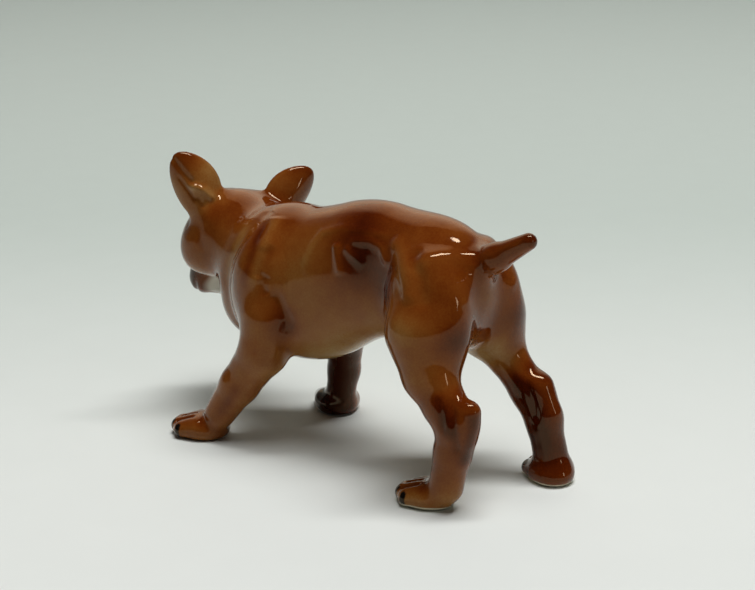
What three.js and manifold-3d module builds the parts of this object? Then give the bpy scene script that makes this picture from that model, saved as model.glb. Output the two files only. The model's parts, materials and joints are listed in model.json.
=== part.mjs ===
// Dog figurine in glazed, slip-cast earthenware: a prick-eared bulldog walking with its head low and turned.
// Nine castings are stuck together with clay slip at flat seats. The trunk and the head are hollow.
import * as THREE from "three";
import { mergeVertices } from "three/addons/utils/BufferGeometryUtils.js";
import Module from "manifold-3d";

// Sizes in millimetres, turns in degrees. The dog faces -Y, its left side is +X, and it stands on z = 0.
// Casting
const WALL = 3.4;
const SLIP_FILM = 0.1;
const SOLID_BEHIND_SEAT = 2.4;
const VENT_RADIUS = 1.7;
const VENT_Y = 4;

// Trunk: eggs on the mid-plane, each with its middle, its whole width, length and depth, and its tilt
const RIBS = { y: -9, z: 42.8, width: 33, length: 52, depth: 41.2, tilt: 6 };
const LOIN = { y: 13.5, z: 51.2, width: 28.4, length: 53, depth: 35.8, tilt: 9 };
const RUMP = { y: 34.5, z: 53.9, width: 26, length: 29, depth: 28, tilt: -8 };
const WITHERS = { y: -14.5, z: 46.8, width: 30, length: 25, depth: 30, tilt: 0 };
const BRISKET = { y: -27, z: 37, width: 24, length: 18, depth: 24, tilt: 0 };
const FLANK_HOLLOW = { y: 20, z: 56, width: 8, length: 18, depth: 13, depression: 1.5 };
const WAIST_HOLLOW = { y: 23, z: 45, width: 8, length: 16, depth: 18, depression: 1.2 };
const TRUNK_BLEND = 6;

// Neck: points with their radius, from the withers to the back of the skull
const NECK = [
  { x: 1, y: -17, z: 48.6, radius: 12.4 },
  { x: -1, y: -28, z: 48.6, radius: 11.4 },
  { x: -3, y: -37, z: 49.4, radius: 10.8 },
];
const NECK_SEAT = { x: 0, y: -26, z: 52, facing: [-0.15, -0.8, 0.58] };
const NECK_FOLD = { width: 1.7, depth: 0.9 };

// Head: its middle and its turns, then its forms measured from that middle in the head's own axes
const HEAD = { x: -4, y: -41, z: 52, turn: -26.5, nod: 33, lean: -10 };
const SKULL = { x: 0, y: -0.5, z: -0.7, width: 26, length: 28, depth: 23 };
const CHEEK = { x: 7.8, y: -3, z: -4.5, width: 14, length: 17, depth: 16 };
const BROW = { x: 5.6, y: -9.2, z: 3.6, width: 8, length: 8, depth: 6 };
const EYE = { x: 6.4, y: -11.9, z: 0.9, width: 4.6, length: 4.2, depth: 4.4 };
const MUZZLE = { x: 0, y: -14, z: -6.5, width: 18, length: 17, depth: 14 };
const FLEW = { x: 4.6, y: -16, z: -9, width: 9.6, length: 12, depth: 10 };
const CHIN = { x: 0, y: -13, z: -11.8, width: 11, length: 12, depth: 6 };
const NOSE = { x: 0, y: -21.7, z: -3.8, width: 7, length: 4.4, depth: 5 };
const HEAD_BLEND = 3;
const HEAD_RADIUS = 24;
const FACE_BLEND = 1.2;

// Ears: a cupped leaf from its root to its tip on the left of the head, mirrored on the right. Each ear has its
// own tip, and its middle line bows towards the middle of the head.
const EAR = {
  root: [9.2, 6.3, 0],
  across: [0.84, -0.43, -0.32],
  width: 12.9,
  thickness: 4.2,
  cup: 0.9,
  point: 0.06,
  belly: 0.06,
  seat_height: 7,
};
const LEFT_EAR = { side: 1, tip: [19, 11.5, 16.6], bow: 0.9 };
const RIGHT_EAR = { side: -1, tip: [19.4, 11.5, 15.2], bow: 0.2 };

// Tail: points with their radius, from inside the rump to the tip
const TAIL_ROOT = { x: 0, y: RUMP.y + RUMP.length / 2 - 5, z: RUMP.z + RUMP.depth / 2 - 11.6, radius: 4.6 };
const TAIL = [
  TAIL_ROOT,
  { x: 0, y: TAIL_ROOT.y + 8, z: TAIL_ROOT.z + 4.6, radius: 3.4 },
  { x: 0, y: TAIL_ROOT.y + 17.2, z: TAIL_ROOT.z + 10.2, radius: 2.1 },
];
const TAIL_SEAT_ALONG = 7;

// Legs: the places of the shoulders and hips beside the mid-plane, then each leg from there to its paw
const SHOULDER_X = RIBS.width / 2 - 3.5;
const HIP_X = RUMP.width / 2;
const FRONT_PAW = { width: 12.2, length: 13.2, height: 4, toe_radius: 1.9, toe_spacing: 2.8 };
const HIND_PAW = { width: 11.4, length: 12, height: 3.8, toe_radius: 1.8, toe_spacing: 2.7 };
const LEG_BLEND = 3.5;
const LIMB_BLEND = 1.8;
const LEGS = {
  front_left_leg: {
    side: 1,
    muscle: { x: SHOULDER_X - 1, y: -14, z: 42, width: 13, length: 19, depth: 29, tilt: -8 },
    bones: [
      { x: SHOULDER_X, y: -11, z: 36, radius: 8 },
      { x: SHOULDER_X + 2, y: -12.2, z: 27, radius: 6.5 },
      { x: SHOULDER_X + 4.2, y: -19.3, z: 16.5, radius: 5.2 },
    ],
    paw: { x: 20.4, y: -31, turn: 20, form: FRONT_PAW },
    ankle: { x: 1.5, y: 6.2, z: 7.5, radius: 4.2 },
    seat: { x: SHOULDER_X - 0.7, y: -13, z: 32, facing: [0.87, -0.12, -0.48] },
    inner: 4,
  },
  front_right_leg: {
    side: -1,
    muscle: { x: SHOULDER_X - 1, y: -14, z: 40, width: 13, length: 19, depth: 29, tilt: 0 },
    bones: [
      { x: SHOULDER_X, y: -11, z: 34, radius: 8 },
      { x: SHOULDER_X + 2, y: -9.6, z: 25, radius: 5.6 },
      { x: SHOULDER_X + 4, y: -12, z: 13, radius: 4.4 },
    ],
    paw: { x: 18.5, y: -16, turn: 45, form: FRONT_PAW },
    ankle: { x: 0.7, y: 3.6, z: 5, radius: 4.2 },
    seat: { x: SHOULDER_X - 0.7, y: -12, z: 32, facing: [0.87, -0.05, -0.48] },
    inner: 4,
  },
  hind_left_leg: {
    side: 1,
    muscle: { x: HIP_X - 2.5, y: 40.2, z: 46, width: 16, length: 22, depth: 32, tilt: 5 },
    bones: [
      { x: HIP_X + 0.2, y: 40, z: 43, radius: 9.3 },
      { x: HIP_X + 1.5, y: 43.5, z: 33, radius: 6.7 },
      { x: HIP_X + 2.3, y: 48.8, z: 26.4, radius: 5.2 },
      { x: HIP_X + 2.5, y: 52, z: 22.5, radius: 4.8 },
      { x: HIP_X + 2.4, y: 51.4, z: 15, radius: 4.5 },
    ],
    hock: { x: HIP_X + 2.6, y: 56.7, z: 27, radius: 2.2, drop: 7, reach: 1.7 },
    paw: { x: 16, y: 44.2, turn: 16, form: HIND_PAW },
    ankle: { x: 1.6, y: 5.5, z: 6, radius: 4.4 },
    seat: { x: HIP_X - 4, y: 42, z: 40, facing: [0.62, 0.35, -0.7] },
    inner: 0.4,
  },
  hind_right_leg: {
    side: -1,
    muscle: { x: HIP_X - 2, y: 40, z: 45.6, width: 16, length: 22, depth: 30, tilt: 0 },
    bones: [
      { x: HIP_X - 0.5, y: 41.2, z: 41, radius: 9.2 },
      { x: HIP_X + 1, y: 45.8, z: 31, radius: 5 },
      { x: HIP_X + 1.5, y: 53, z: 23, radius: 4.8 },
      { x: HIP_X + 2, y: 57.5, z: 15, radius: 4.4 },
    ],
    hock: { x: HIP_X + 1.5, y: 56.7, z: 25, radius: 2.1, drop: 6, reach: -2.7 },
    paw: { x: 15.8, y: 59.2, turn: 30, form: HIND_PAW },
    ankle: { x: 0, y: 0.9, z: 5, radius: 4.5 },
    seat: { x: HIP_X - 4, y: 44, z: 38, facing: [0.62, 0.35, -0.7] },
    inner: 0.4,
  },
};

// Fineness of each casting's skin
const PITCH = { trunk: 3.4, cavity: 5.5, head: 2.2, ear: 1.3, tail: 1.9, leg: 1.8 };

const GLAZES = {
  chestnut: { color: 0x7a431c, roughness: 0.15, metalness: 0 },
  dark_chestnut: { color: 0x5c2c12, roughness: 0.15, metalness: 0 },
};

const radians = THREE.MathUtils.degToRad;

// Fields: each returns how far a point lies outside a form, below zero inside it

// Two fields flow into one with a fillet about as wide as the blend
function blend(a, b, width) {
  if (a === Infinity) return b;
  const share = Math.max(width - Math.abs(a - b), 0) / width;
  return Math.min(a, b) - (share * share * width) / 4;
}

// Axes of a form turned about Z, then nodded about X, then leaned about Y
function axesOf(turn, nod, lean) {
  const euler = new THREE.Euler(radians(nod), radians(lean), radians(turn), "ZXY");
  return new THREE.Matrix4().makeRotationFromEuler(euler).elements;
}

function egg({ x = 0, y, z, width, length, depth, tilt = 0 }) {
  const m = axesOf(0, tilt, 0);
  const a = width / 2;
  const b = length / 2;
  const c = depth / 2;
  return (px, py, pz) => {
    const dx = px - x;
    const dy = py - y;
    const dz = pz - z;
    const u = (dx * m[0] + dy * m[1] + dz * m[2]) / a;
    const v = (dx * m[4] + dy * m[5] + dz * m[6]) / b;
    const w = (dx * m[8] + dy * m[9] + dz * m[10]) / c;
    const near = Math.sqrt(u * u + v * v + w * w);
    const slope = Math.sqrt((u * u) / (a * a) + (v * v) / (b * b) + (w * w) / (c * c));
    return (near * (near - 1)) / Math.max(slope, 1e-9);
  };
}

// A rod between two balls of different radius
function rod(from, to) {
  const bx = to.x - from.x;
  const by = to.y - from.y;
  const bz = to.z - from.z;
  const long2 = bx * bx + by * by + bz * bz;
  const taper = from.radius - to.radius;
  const side2 = long2 - taper * taper;
  return (px, py, pz) => {
    const ax = px - from.x;
    const ay = py - from.y;
    const az = pz - from.z;
    const along = ax * bx + ay * by + az * bz;
    const past = along - long2;
    const cx = ax * long2 - bx * along;
    const cy = ay * long2 - by * along;
    const cz = az * long2 - bz * along;
    const off2 = cx * cx + cy * cy + cz * cz;
    const along2 = along * along * long2;
    const past2 = past * past * long2;
    const edge = Math.sign(taper) * taper * taper * off2;
    if (Math.sign(past) * side2 * past2 > edge) return Math.sqrt(off2 + past2) / long2 - to.radius;
    if (Math.sign(along) * side2 * along2 < edge) return Math.sqrt(off2 + along2) / long2 - from.radius;
    return (Math.sqrt((off2 * side2) / long2) + along * taper) / long2 - from.radius;
  };
}

function join(fields, width) {
  return (x, y, z) => fields.reduce((sum, field) => blend(sum, field(x, y, z), width), Infinity);
}

// A part is left out of the sum where even the ball round it is too far off to change the sum
function within(field, points, reach) {
  const ball = new THREE.Sphere().setFromPoints(points.map(({ x, y, z }) => new THREE.Vector3(x, y, z)));
  const { x: bx, y: by, z: bz } = ball.center;
  const radius = ball.radius + reach;
  return (x, y, z, sum, width) => {
    const nearest = Math.hypot(x - bx, y - by, z - bz) - radius;
    return nearest > Math.max(sum, 0) + width ? sum : blend(sum, field(x, y, z), width);
  };
}

function limb(points, width) {
  return join(points.slice(1).map((to, i) => rod(points[i], to)), width);
}

const ribs = egg(RIBS);
const loin = egg(LOIN);
const rump = egg(RUMP);
const withers = egg(WITHERS);
const brisket = egg(BRISKET);
const neck = limb(NECK, LIMB_BLEND);
const neckFacing = new THREE.Vector3(...NECK_SEAT.facing).normalize();

// The hollow between the last rib and the thigh on each side, and the waist below it
function dent(hollow, x, y, z) {
  const u = (y - hollow.y) / (hollow.length / 2);
  const v = (z - hollow.z) / (hollow.depth / 2);
  const w = (Math.abs(x) - LOIN.width / 2) / hollow.width;
  return hollow.depression * Math.exp(-u * u - v * v - w * w);
}

// The skin folds where the neck meets the shoulder, along the neck's seat
function neckFold(x, y, z) {
  const behind =
    (x - NECK_SEAT.x) * neckFacing.x + (y - NECK_SEAT.y) * neckFacing.y + (z - NECK_SEAT.z) * neckFacing.z;
  const ratio = behind / NECK_FOLD.width;
  return NECK_FOLD.depth * Math.exp(-ratio * ratio);
}

function trunk(x, y, z) {
  let d = blend(ribs(x, y, z), loin(x, y, z), TRUNK_BLEND);
  d = blend(d, rump(x, y, z), TRUNK_BLEND);
  d = blend(d, withers(x, y, z), TRUNK_BLEND);
  d = blend(d, brisket(x, y, z), TRUNK_BLEND);
  d += dent(FLANK_HOLLOW, x, y, z) + dent(WAIST_HOLLOW, x, y, z);
  return blend(d, neck(x, y, z), TRUNK_BLEND) + neckFold(x, y, z);
}

// The head's forms in its own axes, with paired ones mirrored
const headAxes = axesOf(HEAD.turn, HEAD.nod, HEAD.lean);
const skull = egg(SKULL);
const cheek = egg(CHEEK);
const brow = egg(BROW);
const eye = egg(EYE);
const muzzle = egg(MUZZLE);
const flew = egg(FLEW);
const chin = egg(CHIN);
const nose = egg(NOSE);

// An ear's leaf: its height runs along `up`, its width along `across` and its convex side faces `back`
function leafAxes({ tip }) {
  const root = new THREE.Vector3(...EAR.root);
  const up = new THREE.Vector3(...tip).sub(root);
  const halfHeight = up.length() / 2;
  const middle = root.clone().addScaledVector(up, 0.5);
  up.normalize();
  const across = new THREE.Vector3(...EAR.across);
  across.addScaledVector(up, -across.dot(up)).normalize();
  return { root, up, across, back: new THREE.Vector3().crossVectors(up, across), halfHeight, middle };
}

function leaf(plan) {
  const { up, across, back, halfHeight, middle } = leafAxes(plan);
  return (x, y, z) => {
    const dx = x - middle.x;
    const dy = y - middle.y;
    const dz = z - middle.z;
    const rise = (dx * up.x + dy * up.y + dz * up.z) / halfHeight;
    const bow = plan.bow * Math.max(1 - rise * rise, -1);
    const side = dx * across.x + dy * across.y + dz * across.z + bow;
    const behind = dx * back.x + dy * back.y + dz * back.z;
    const narrowing = Math.max(1 - EAR.point * rise - EAR.belly * rise * rise, 0.3);
    const u = side / narrowing / (EAR.width / 2);
    const w = (behind + (EAR.cup * side * side) / EAR.width) / (EAR.thickness / 2);
    const near = Math.sqrt(rise * rise + u * u + w * w);
    const slope = Math.hypot(rise / halfHeight, u / (EAR.width / 2), w / (EAR.thickness / 2));
    return (0.8 * near * (near - 1)) / Math.max(slope, 1e-9);
  };
}

const leftLeaf = leaf(LEFT_EAR);
const rightLeaf = leaf(RIGHT_EAR);

function head(px, py, pz) {
  const m = headAxes;
  const dx = px - HEAD.x;
  const dy = py - HEAD.y;
  const dz = pz - HEAD.z;
  const across = dx * m[0] + dy * m[1] + dz * m[2];
  const x = Math.abs(across);
  const y = dx * m[4] + dy * m[5] + dz * m[6];
  const z = dx * m[8] + dy * m[9] + dz * m[10];
  let d = blend(skull(x, y, z), cheek(x, y, z), HEAD_BLEND);
  d = blend(d, brow(x, y, z), HEAD_BLEND);
  d = blend(d, muzzle(x, y, z), HEAD_BLEND);
  d = blend(d, flew(x, y, z), FACE_BLEND);
  d = blend(d, chin(x, y, z), FACE_BLEND);
  d = blend(d, nose(x, y, z), FACE_BLEND);
  d = blend(d, eye(x, y, z), FACE_BLEND / 3);
  const ear = across > 0 ? leftLeaf : rightLeaf;
  return blend(d, ear(x, y, z), HEAD_BLEND);
}

// A paw with four toes; its field is cut flat by the floor later
function paw({ x, y, turn, form }) {
  const [c, s] = [Math.cos(radians(turn)), Math.sin(radians(turn))];
  const pad = egg({
    y: form.length * 0.09,
    z: form.height * 0.6,
    width: form.width,
    length: form.length,
    depth: form.height * 2,
  });
  const toes = [-1.5, -0.5, 0.5, 1.5].map((place) => {
    const side = place * form.toe_spacing;
    const reach = form.length * (Math.abs(place) < 1 ? 0.5 : 0.39);
    const knuckle = { x: side * 0.9, y: 0, z: form.toe_radius * 1.35, radius: form.toe_radius };
    const tip = { x: side, y: -reach, z: form.toe_radius, radius: form.toe_radius * 0.92 };
    return rod(knuckle, tip);
  });
  return (px, py, pz) => {
    const u = (px - x) * c + (py - y) * s;
    const v = -(px - x) * s + (py - y) * c;
    return toes.reduce((d, toe) => blend(d, toe(u, v, pz), FACE_BLEND), pad(u, v, pz));
  };
}

// Each leg is made on the left and, for a right leg, mirrored
function leg({ side, muscle, bones, hock, paw: foot, ankle }) {
  const [c, s] = [Math.cos(radians(foot.turn)), Math.sin(radians(foot.turn))];
  const ankleBone = {
    x: foot.x + ankle.x * c - ankle.y * s,
    y: foot.y + ankle.x * s + ankle.y * c,
    z: ankle.z,
    radius: ankle.radius,
  };
  const mass = egg(muscle);
  const shank = limb([...bones, ankleBone], LIMB_BLEND);
  const pawField = paw(foot);
  const tendon = hock && { ...hock, y: hock.y - hock.reach, z: hock.z - hock.drop };
  const heel = hock && rod(hock, { ...tendon, radius: hock.radius * 0.87 });
  return (px, py, pz) => {
    const x = px * side;
    let d = blend(mass(x, py, pz), shank(x, py, pz), LEG_BLEND);
    if (heel) d = blend(d, heel(x, py, pz), LEG_BLEND);
    return blend(d, pawField(x, py, pz), LEG_BLEND / 1.5);
  };
}

const MUSCLE_REACH = 18;
const EAR_TIP_REACH = Math.max(Math.hypot(...LEFT_EAR.tip), Math.hypot(...RIGHT_EAR.tip)) + EAR.thickness;
const addHead = within(head, [HEAD], EAR_TIP_REACH);
const addTail = within(limb(TAIL, LIMB_BLEND), TAIL, TAIL[0].radius);
const legAdders = Object.values(LEGS).map((plan) => {
  const places = [plan.muscle, ...plan.bones, { ...plan.paw, z: 0 }];
  const mirrored = places.map(({ x, y, z }) => ({ x: x * plan.side, y, z }));
  return within(leg(plan), mirrored, MUSCLE_REACH);
});

function dogField(x, y, z) {
  let sum = addHead(x, y, z, trunk(x, y, z), HEAD_BLEND);
  sum = addTail(x, y, z, sum, HEAD_BLEND);
  for (const addLeg of legAdders) sum = addLeg(x, y, z, sum, LEG_BLEND);
  return sum;
}

// Grid samples are taken block by block, and a block far from the surface takes one value
const BLOCK = 4;

// Skin of a field inside a box: one vertex in each grid cell that the surface crosses
function skin(field, low, high, pitch) {
  const [nx, ny, nz] = [0, 1, 2].map((i) => Math.ceil((high[i] - low[i]) / pitch) + 1);
  const place = (i, j, k) => (i * ny + j) * nz + k;
  const values = new Float64Array(nx * ny * nz);
  const sample = (i, j, k) => field(low[0] + i * pitch, low[1] + j * pitch, low[2] + k * pitch);
  for (let i = 0; i < nx; i += BLOCK) {
    for (let j = 0; j < ny; j += BLOCK) {
      for (let k = 0; k < nz; k += BLOCK) {
        const middle = (BLOCK - 1) / 2;
        const guess = sample(i + middle, j + middle, k + middle);
        const far = Math.abs(guess) > 1.8 * pitch * BLOCK;
        for (let n = 0; n < BLOCK ** 3; n++) {
          const a = i + (n % BLOCK);
          const b = j + (Math.floor(n / BLOCK) % BLOCK);
          const c = k + Math.floor(n / BLOCK ** 2);
          if (a >= nx || b >= ny || c >= nz) continue;
          const rim = Math.min(a, b, c, nx - 1 - a, ny - 1 - b, nz - 1 - c) === 0;
          const value = far ? guess : sample(a, b, c);
          values[place(a, b, c)] = rim ? Math.max(value, pitch / 2) : value;
        }
      }
    }
  }
  const steps = [place(1, 0, 0), place(0, 1, 0), place(0, 0, 1)];
  fillCheckerboards(values, steps, nx, ny, nz, place);
  const points = [];
  const cellPoint = new Map();
  const corner = (n) => [n & 1, (n >> 1) & 1, (n >> 2) & 1];
  for (let i = 0; i < nx - 1; i++) {
    for (let j = 0; j < ny - 1; j++) {
      for (let k = 0; k < nz - 1; k++) {
        const sum = [0, 0, 0];
        let crossings = 0;
        for (let n = 0; n < 8; n++) {
          for (let axis = 0; axis < 3; axis++) {
            if ((n >> axis) & 1) continue;
            const [a, b, c] = corner(n);
            const start = place(i + a, j + b, k + c);
            const [first, second] = [values[start], values[start + steps[axis]]];
            if (first < 0 === second < 0) continue;
            const hit = [a, b, c];
            hit[axis] = first / (first - second);
            hit.forEach((h, m) => (sum[m] += h));
            crossings++;
          }
        }
        if (!crossings) continue;
        cellPoint.set(place(i, j, k), points.length / 3);
        const cell = [i, j, k];
        const rough = cell.map((start, m) => low[m] + (start + sum[m] / crossings) * pitch);
        points.push(...ontoSurface(field, rough, pitch));
      }
    }
  }
  const faces = [];
  for (let i = 0; i < nx - 1; i++) {
    for (let j = 0; j < ny - 1; j++) {
      for (let k = 0; k < nz - 1; k++) {
        const start = place(i, j, k);
        for (let axis = 0; axis < 3; axis++) {
          const inside = values[start] < 0;
          if (inside === values[start + steps[axis]] < 0) continue;
          const [u, v] = [steps[(axis + 1) % 3], steps[(axis + 2) % 3]];
          const ring = [start, start - u, start - u - v, start - v].map((cell) => cellPoint.get(cell));
          if (!inside) ring.reverse();
          faces.push(...quad(points, ring));
        }
      }
    }
  }
  const geometry = new THREE.BufferGeometry();
  geometry.setAttribute("position", new THREE.BufferAttribute(new Float32Array(points), 3));
  geometry.setIndex(faces);
  return geometry;
}

// Where a grid square has inside corners only across its diagonal, one more corner is counted as inside
function fillCheckerboards(values, steps, nx, ny, nz, place) {
  let changed = true;
  while (changed) {
    changed = false;
    for (let i = 1; i < nx - 2; i++) {
      for (let j = 1; j < ny - 2; j++) {
        for (let k = 1; k < nz - 2; k++) {
          for (let axis = 0; axis < 3; axis++) {
            const start = place(i, j, k);
            const [u, v] = [steps[axis], steps[(axis + 1) % 3]];
            const ring = [start, start + u, start + u + v, start + v];
            const [a, b, c, d] = ring.map((n) => values[n] < 0);
            if (a !== c || b !== d || a === b) continue;
            const outside = ring.filter((n) => values[n] >= 0);
            const nearest = values[outside[0]] < values[outside[1]] ? outside[0] : outside[1];
            values[nearest] = -1e-3;
            changed = true;
          }
        }
      }
    }
  }
}

// Moves a point along the field's slope until it lies on the surface
function ontoSurface(field, [x, y, z], pitch) {
  const step = pitch / 20;
  const value = field(x, y, z);
  const gx = (field(x + step, y, z) - field(x - step, y, z)) / (2 * step);
  const gy = (field(x, y + step, z) - field(x, y - step, z)) / (2 * step);
  const gz = (field(x, y, z + step) - field(x, y, z - step)) / (2 * step);
  const slope2 = Math.max(gx * gx + gy * gy + gz * gz, 0.05);
  const move = THREE.MathUtils.clamp(value / slope2, -pitch / 4, pitch / 4);
  return [x - gx * move, y - gy * move, z - gz * move];
}

// A square face as two triangles along its shorter diagonal
function quad(points, [a, b, c, d]) {
  const gap = (m, n) =>
    Math.hypot(
      points[3 * m] - points[3 * n],
      points[3 * m + 1] - points[3 * n + 1],
      points[3 * m + 2] - points[3 * n + 2],
    );
  return gap(a, c) < gap(b, d) ? [a, b, c, a, c, d] : [a, b, d, b, c, d];
}

const wasm = await Module();
wasm.setup();

function solid(geometry) {
  geometry.deleteAttribute("normal");
  geometry.deleteAttribute("uv");
  const merged = mergeVertices(geometry, 1e-5);
  return new wasm.Manifold(
    new wasm.Mesh({
      numProp: 3,
      vertProperties: new Float32Array(merged.attributes.position.array),
      triVerts: new Uint32Array(merged.index.array),
    }),
  );
}

// Seats: where each casting is stuck on, and which way it grows from there
const headMatrix = new THREE.Matrix4()
  .makeRotationFromEuler(new THREE.Euler(radians(HEAD.nod), radians(HEAD.lean), radians(HEAD.turn), "ZXY"))
  .setPosition(HEAD.x, HEAD.y, HEAD.z);

function seat({ x, y, z, facing }, side = 1) {
  const direction = new THREE.Vector3(facing[0] * side, facing[1], facing[2]).normalize();
  return { at: new THREE.Vector3(x * side, y, z), facing: direction };
}

function earSeat(plan) {
  const { root, up } = leafAxes(plan);
  const mirror = new THREE.Vector3(plan.side, 1, 1);
  const at = root.addScaledVector(up, EAR.seat_height).multiply(mirror);
  const facing = up.multiply(mirror);
  return { at: at.applyMatrix4(headMatrix), facing: facing.transformDirection(headMatrix) };
}

function tailSeat() {
  const root = new THREE.Vector3(TAIL[0].x, TAIL[0].y, TAIL[0].z);
  const facing = new THREE.Vector3(TAIL[1].x, TAIL[1].y, TAIL[1].z).sub(root).normalize();
  return { at: root.addScaledVector(facing, TAIL_SEAT_ALONG), facing };
}

// Everything past a seat within a reach: a drum whose end lies in the seat's plane
function beyond({ at, facing }, reach, lift) {
  const drum = new THREE.CylinderGeometry(reach, reach, 2 * reach, 32);
  drum.rotateX(Math.PI / 2);
  drum.applyQuaternion(new THREE.Quaternion().setFromUnitVectors(new THREE.Vector3(0, 0, 1), facing));
  const middle = at.clone().addScaledVector(facing, reach + lift);
  drum.translate(middle.x, middle.y, middle.z);
  return solid(drum);
}

// Past every part of the dog, in any direction
const FAR = 150;
const SEAT_REACH = { leg: 55, head: 55, ear: EAR.width, tail: 2.2 * TAIL[1].radius };

function block(low, high) {
  const size = high.map((value, i) => value - low[i]);
  const box = new THREE.BoxGeometry(...size);
  box.translate(...low.map((value, i) => value + size[i] / 2));
  return solid(box);
}

// A leg's own quarter of the dog: outside a distance from the mid-plane, before or behind the waist
const WAIST_Y = (RIBS.y + RUMP.y) / 2;

function legQuarter({ side, inner, seat: { y } }) {
  const across = side > 0 ? [inner, FAR] : [-FAR, -inner];
  const along = y < WAIST_Y ? [-FAR, WAIST_Y] : [WAIST_Y, FAR];
  return block([across[0], along[0], -FAR], [across[1], along[1], FAR]);
}

const legZone = (plan, lift) =>
  beyond(seat(plan.seat, plan.side), SEAT_REACH.leg, lift).intersect(legQuarter(plan));
const headZone = (lift) => beyond(seat(NECK_SEAT), SEAT_REACH.head, lift);
const earZone = (plan, lift) => beyond(earSeat(plan), SEAT_REACH.ear, lift);
const tailZone = (lift) => beyond(tailSeat(), SEAT_REACH.tail, lift);
const floor = block([-FAR, -FAR, -FAR], [FAR, FAR, 0]);

// Opposite corners of an egg's box, and the box round some points with a margin
const corners = ({ x = 0, y, z, width, length, depth }) => [
  { x: x - width / 2, y: y - length / 2, z: z - depth / 2 },
  { x: x + width / 2, y: y + length / 2, z: z + depth / 2 },
];

function boxRound(points, margin) {
  const box = new THREE.Box3().setFromPoints(points.map(({ x, y, z }) => new THREE.Vector3(x, y, z)));
  box.expandByScalar(margin);
  return [box.min.toArray(), box.max.toArray()];
}

function casting(points, margin, pitch) {
  const [low, high] = boxRound(points, margin);
  return solid(skin(dogField, low, high, pitch)).subtract(floor);
}

function largest(body) {
  return body.decompose().reduce((a, b) => (a.volume() > b.volume() ? a : b));
}

const trunkCorners = [RIBS, LOIN, RUMP, WITHERS, BRISKET].flatMap(corners);
const headPlace = new THREE.Vector3(HEAD.x, HEAD.y, HEAD.z);
const headCorners = corners({ ...HEAD, width: 2 * HEAD_RADIUS, length: 2 * HEAD_RADIUS, depth: 2 * HEAD_RADIUS });

// The space inside the trunk and the head, which the neck joins; the legs, ears and tail are solid
function cavityOf() {
  const inside = (x, y, z) => dogField(x, y, z) + WALL;
  const [low, high] = boxRound([...trunkCorners, ...headCorners], 0);
  let space = solid(skin(inside, low, high, PITCH.cavity));
  for (const plan of Object.values(LEGS)) {
    space = space.subtract(legZone(plan, -SOLID_BEHIND_SEAT));
  }
  for (const plan of [LEFT_EAR, RIGHT_EAR]) {
    space = space.subtract(earZone(plan, -SOLID_BEHIND_SEAT));
  }
  return largest(space.subtract(tailZone(-SOLID_BEHIND_SEAT)));
}

// The air hole under the belly, which lets steam out in the kiln
function ventHole() {
  const height = RIBS.z;
  const drill = new THREE.CylinderGeometry(VENT_RADIUS, VENT_RADIUS, height, 24);
  drill.rotateX(Math.PI / 2);
  drill.translate(0, VENT_Y, height / 2);
  return solid(drill);
}

function meshOf(name, body, glaze, origin) {
  const { vertProperties, triVerts } = body.getMesh();
  const geometry = new THREE.BufferGeometry();
  geometry.setAttribute("position", new THREE.BufferAttribute(vertProperties, 3));
  geometry.setIndex(new THREE.BufferAttribute(triVerts, 1));
  geometry.translate(-origin.x, -origin.y, -origin.z);
  geometry.computeVertexNormals();
  const mesh = new THREE.Mesh(geometry, new THREE.MeshStandardMaterial(GLAZES[glaze]));
  mesh.name = name;
  mesh.position.copy(origin);
  return mesh;
}

function makeLeg(name, plan) {
  const { at } = seat(plan.seat, plan.side);
  const places = [plan.muscle, ...plan.bones, { ...plan.paw, z: 0 }, plan.seat];
  const points = places.map(({ x, y, z }) => ({ x: x * plan.side, y, z }));
  const body = casting(points, plan.paw.form.length, PITCH.leg).intersect(legZone(plan, SLIP_FILM / 2));
  return meshOf(name, largest(body), "chestnut", at);
}

function makeEar(name, plan) {
  const { at, facing } = earSeat(plan);
  const points = [at, at.clone().addScaledVector(facing, 2 * leafAxes(plan).halfHeight - EAR.seat_height)];
  const margin = EAR.width / 2 + plan.bow;
  const body = casting(points, margin, PITCH.ear).intersect(earZone(plan, SLIP_FILM / 2));
  return meshOf(name, largest(body), "chestnut", at);
}

function makeTail() {
  const body = casting(TAIL, 2 * TAIL[0].radius, PITCH.tail).intersect(tailZone(SLIP_FILM / 2));
  return meshOf("tail", largest(body), "chestnut", tailSeat().at);
}

function makeHead(cavity) {
  let body = casting([...headCorners, NECK_SEAT, NECK[0]], NECK[0].radius, PITCH.head);
  body = body.intersect(headZone(SLIP_FILM / 2)).subtract(cavity);
  for (const plan of [LEFT_EAR, RIGHT_EAR]) body = body.subtract(earZone(plan, -SLIP_FILM / 2));
  return meshOf("head", largest(body), "dark_chestnut", headPlace);
}

function makeTrunk(cavity) {
  let body = casting(trunkCorners, TRUNK_BLEND, PITCH.trunk);
  body = body.subtract(headZone(-SLIP_FILM / 2)).subtract(tailZone(-SLIP_FILM / 2));
  for (const plan of Object.values(LEGS)) body = body.subtract(legZone(plan, -SLIP_FILM / 2));
  body = body.subtract(cavity).subtract(ventHole());
  return meshOf("trunk", largest(body), "chestnut", new THREE.Vector3(0, RIBS.y, RIBS.z));
}

const cavity = cavityOf();
const dog = new THREE.Group();
dog.add(makeTrunk(cavity), makeHead(cavity), makeTail());
dog.add(makeEar("left_ear", LEFT_EAR), makeEar("right_ear", RIGHT_EAR));
for (const [name, plan] of Object.entries(LEGS)) dog.add(makeLeg(name, plan));

// The figure stands with the middle of its footprint over the origin
const bounds = new THREE.Box3().setFromObject(dog, true);
const centre = bounds.getCenter(new THREE.Vector3());
dog.position.set(-centre.x, -centre.y, 0);

export default dog;
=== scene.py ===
"""A glazed earthenware dog figurine: nine castings in place of the plain solids, on a pale stage."""

import json
import math

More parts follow.
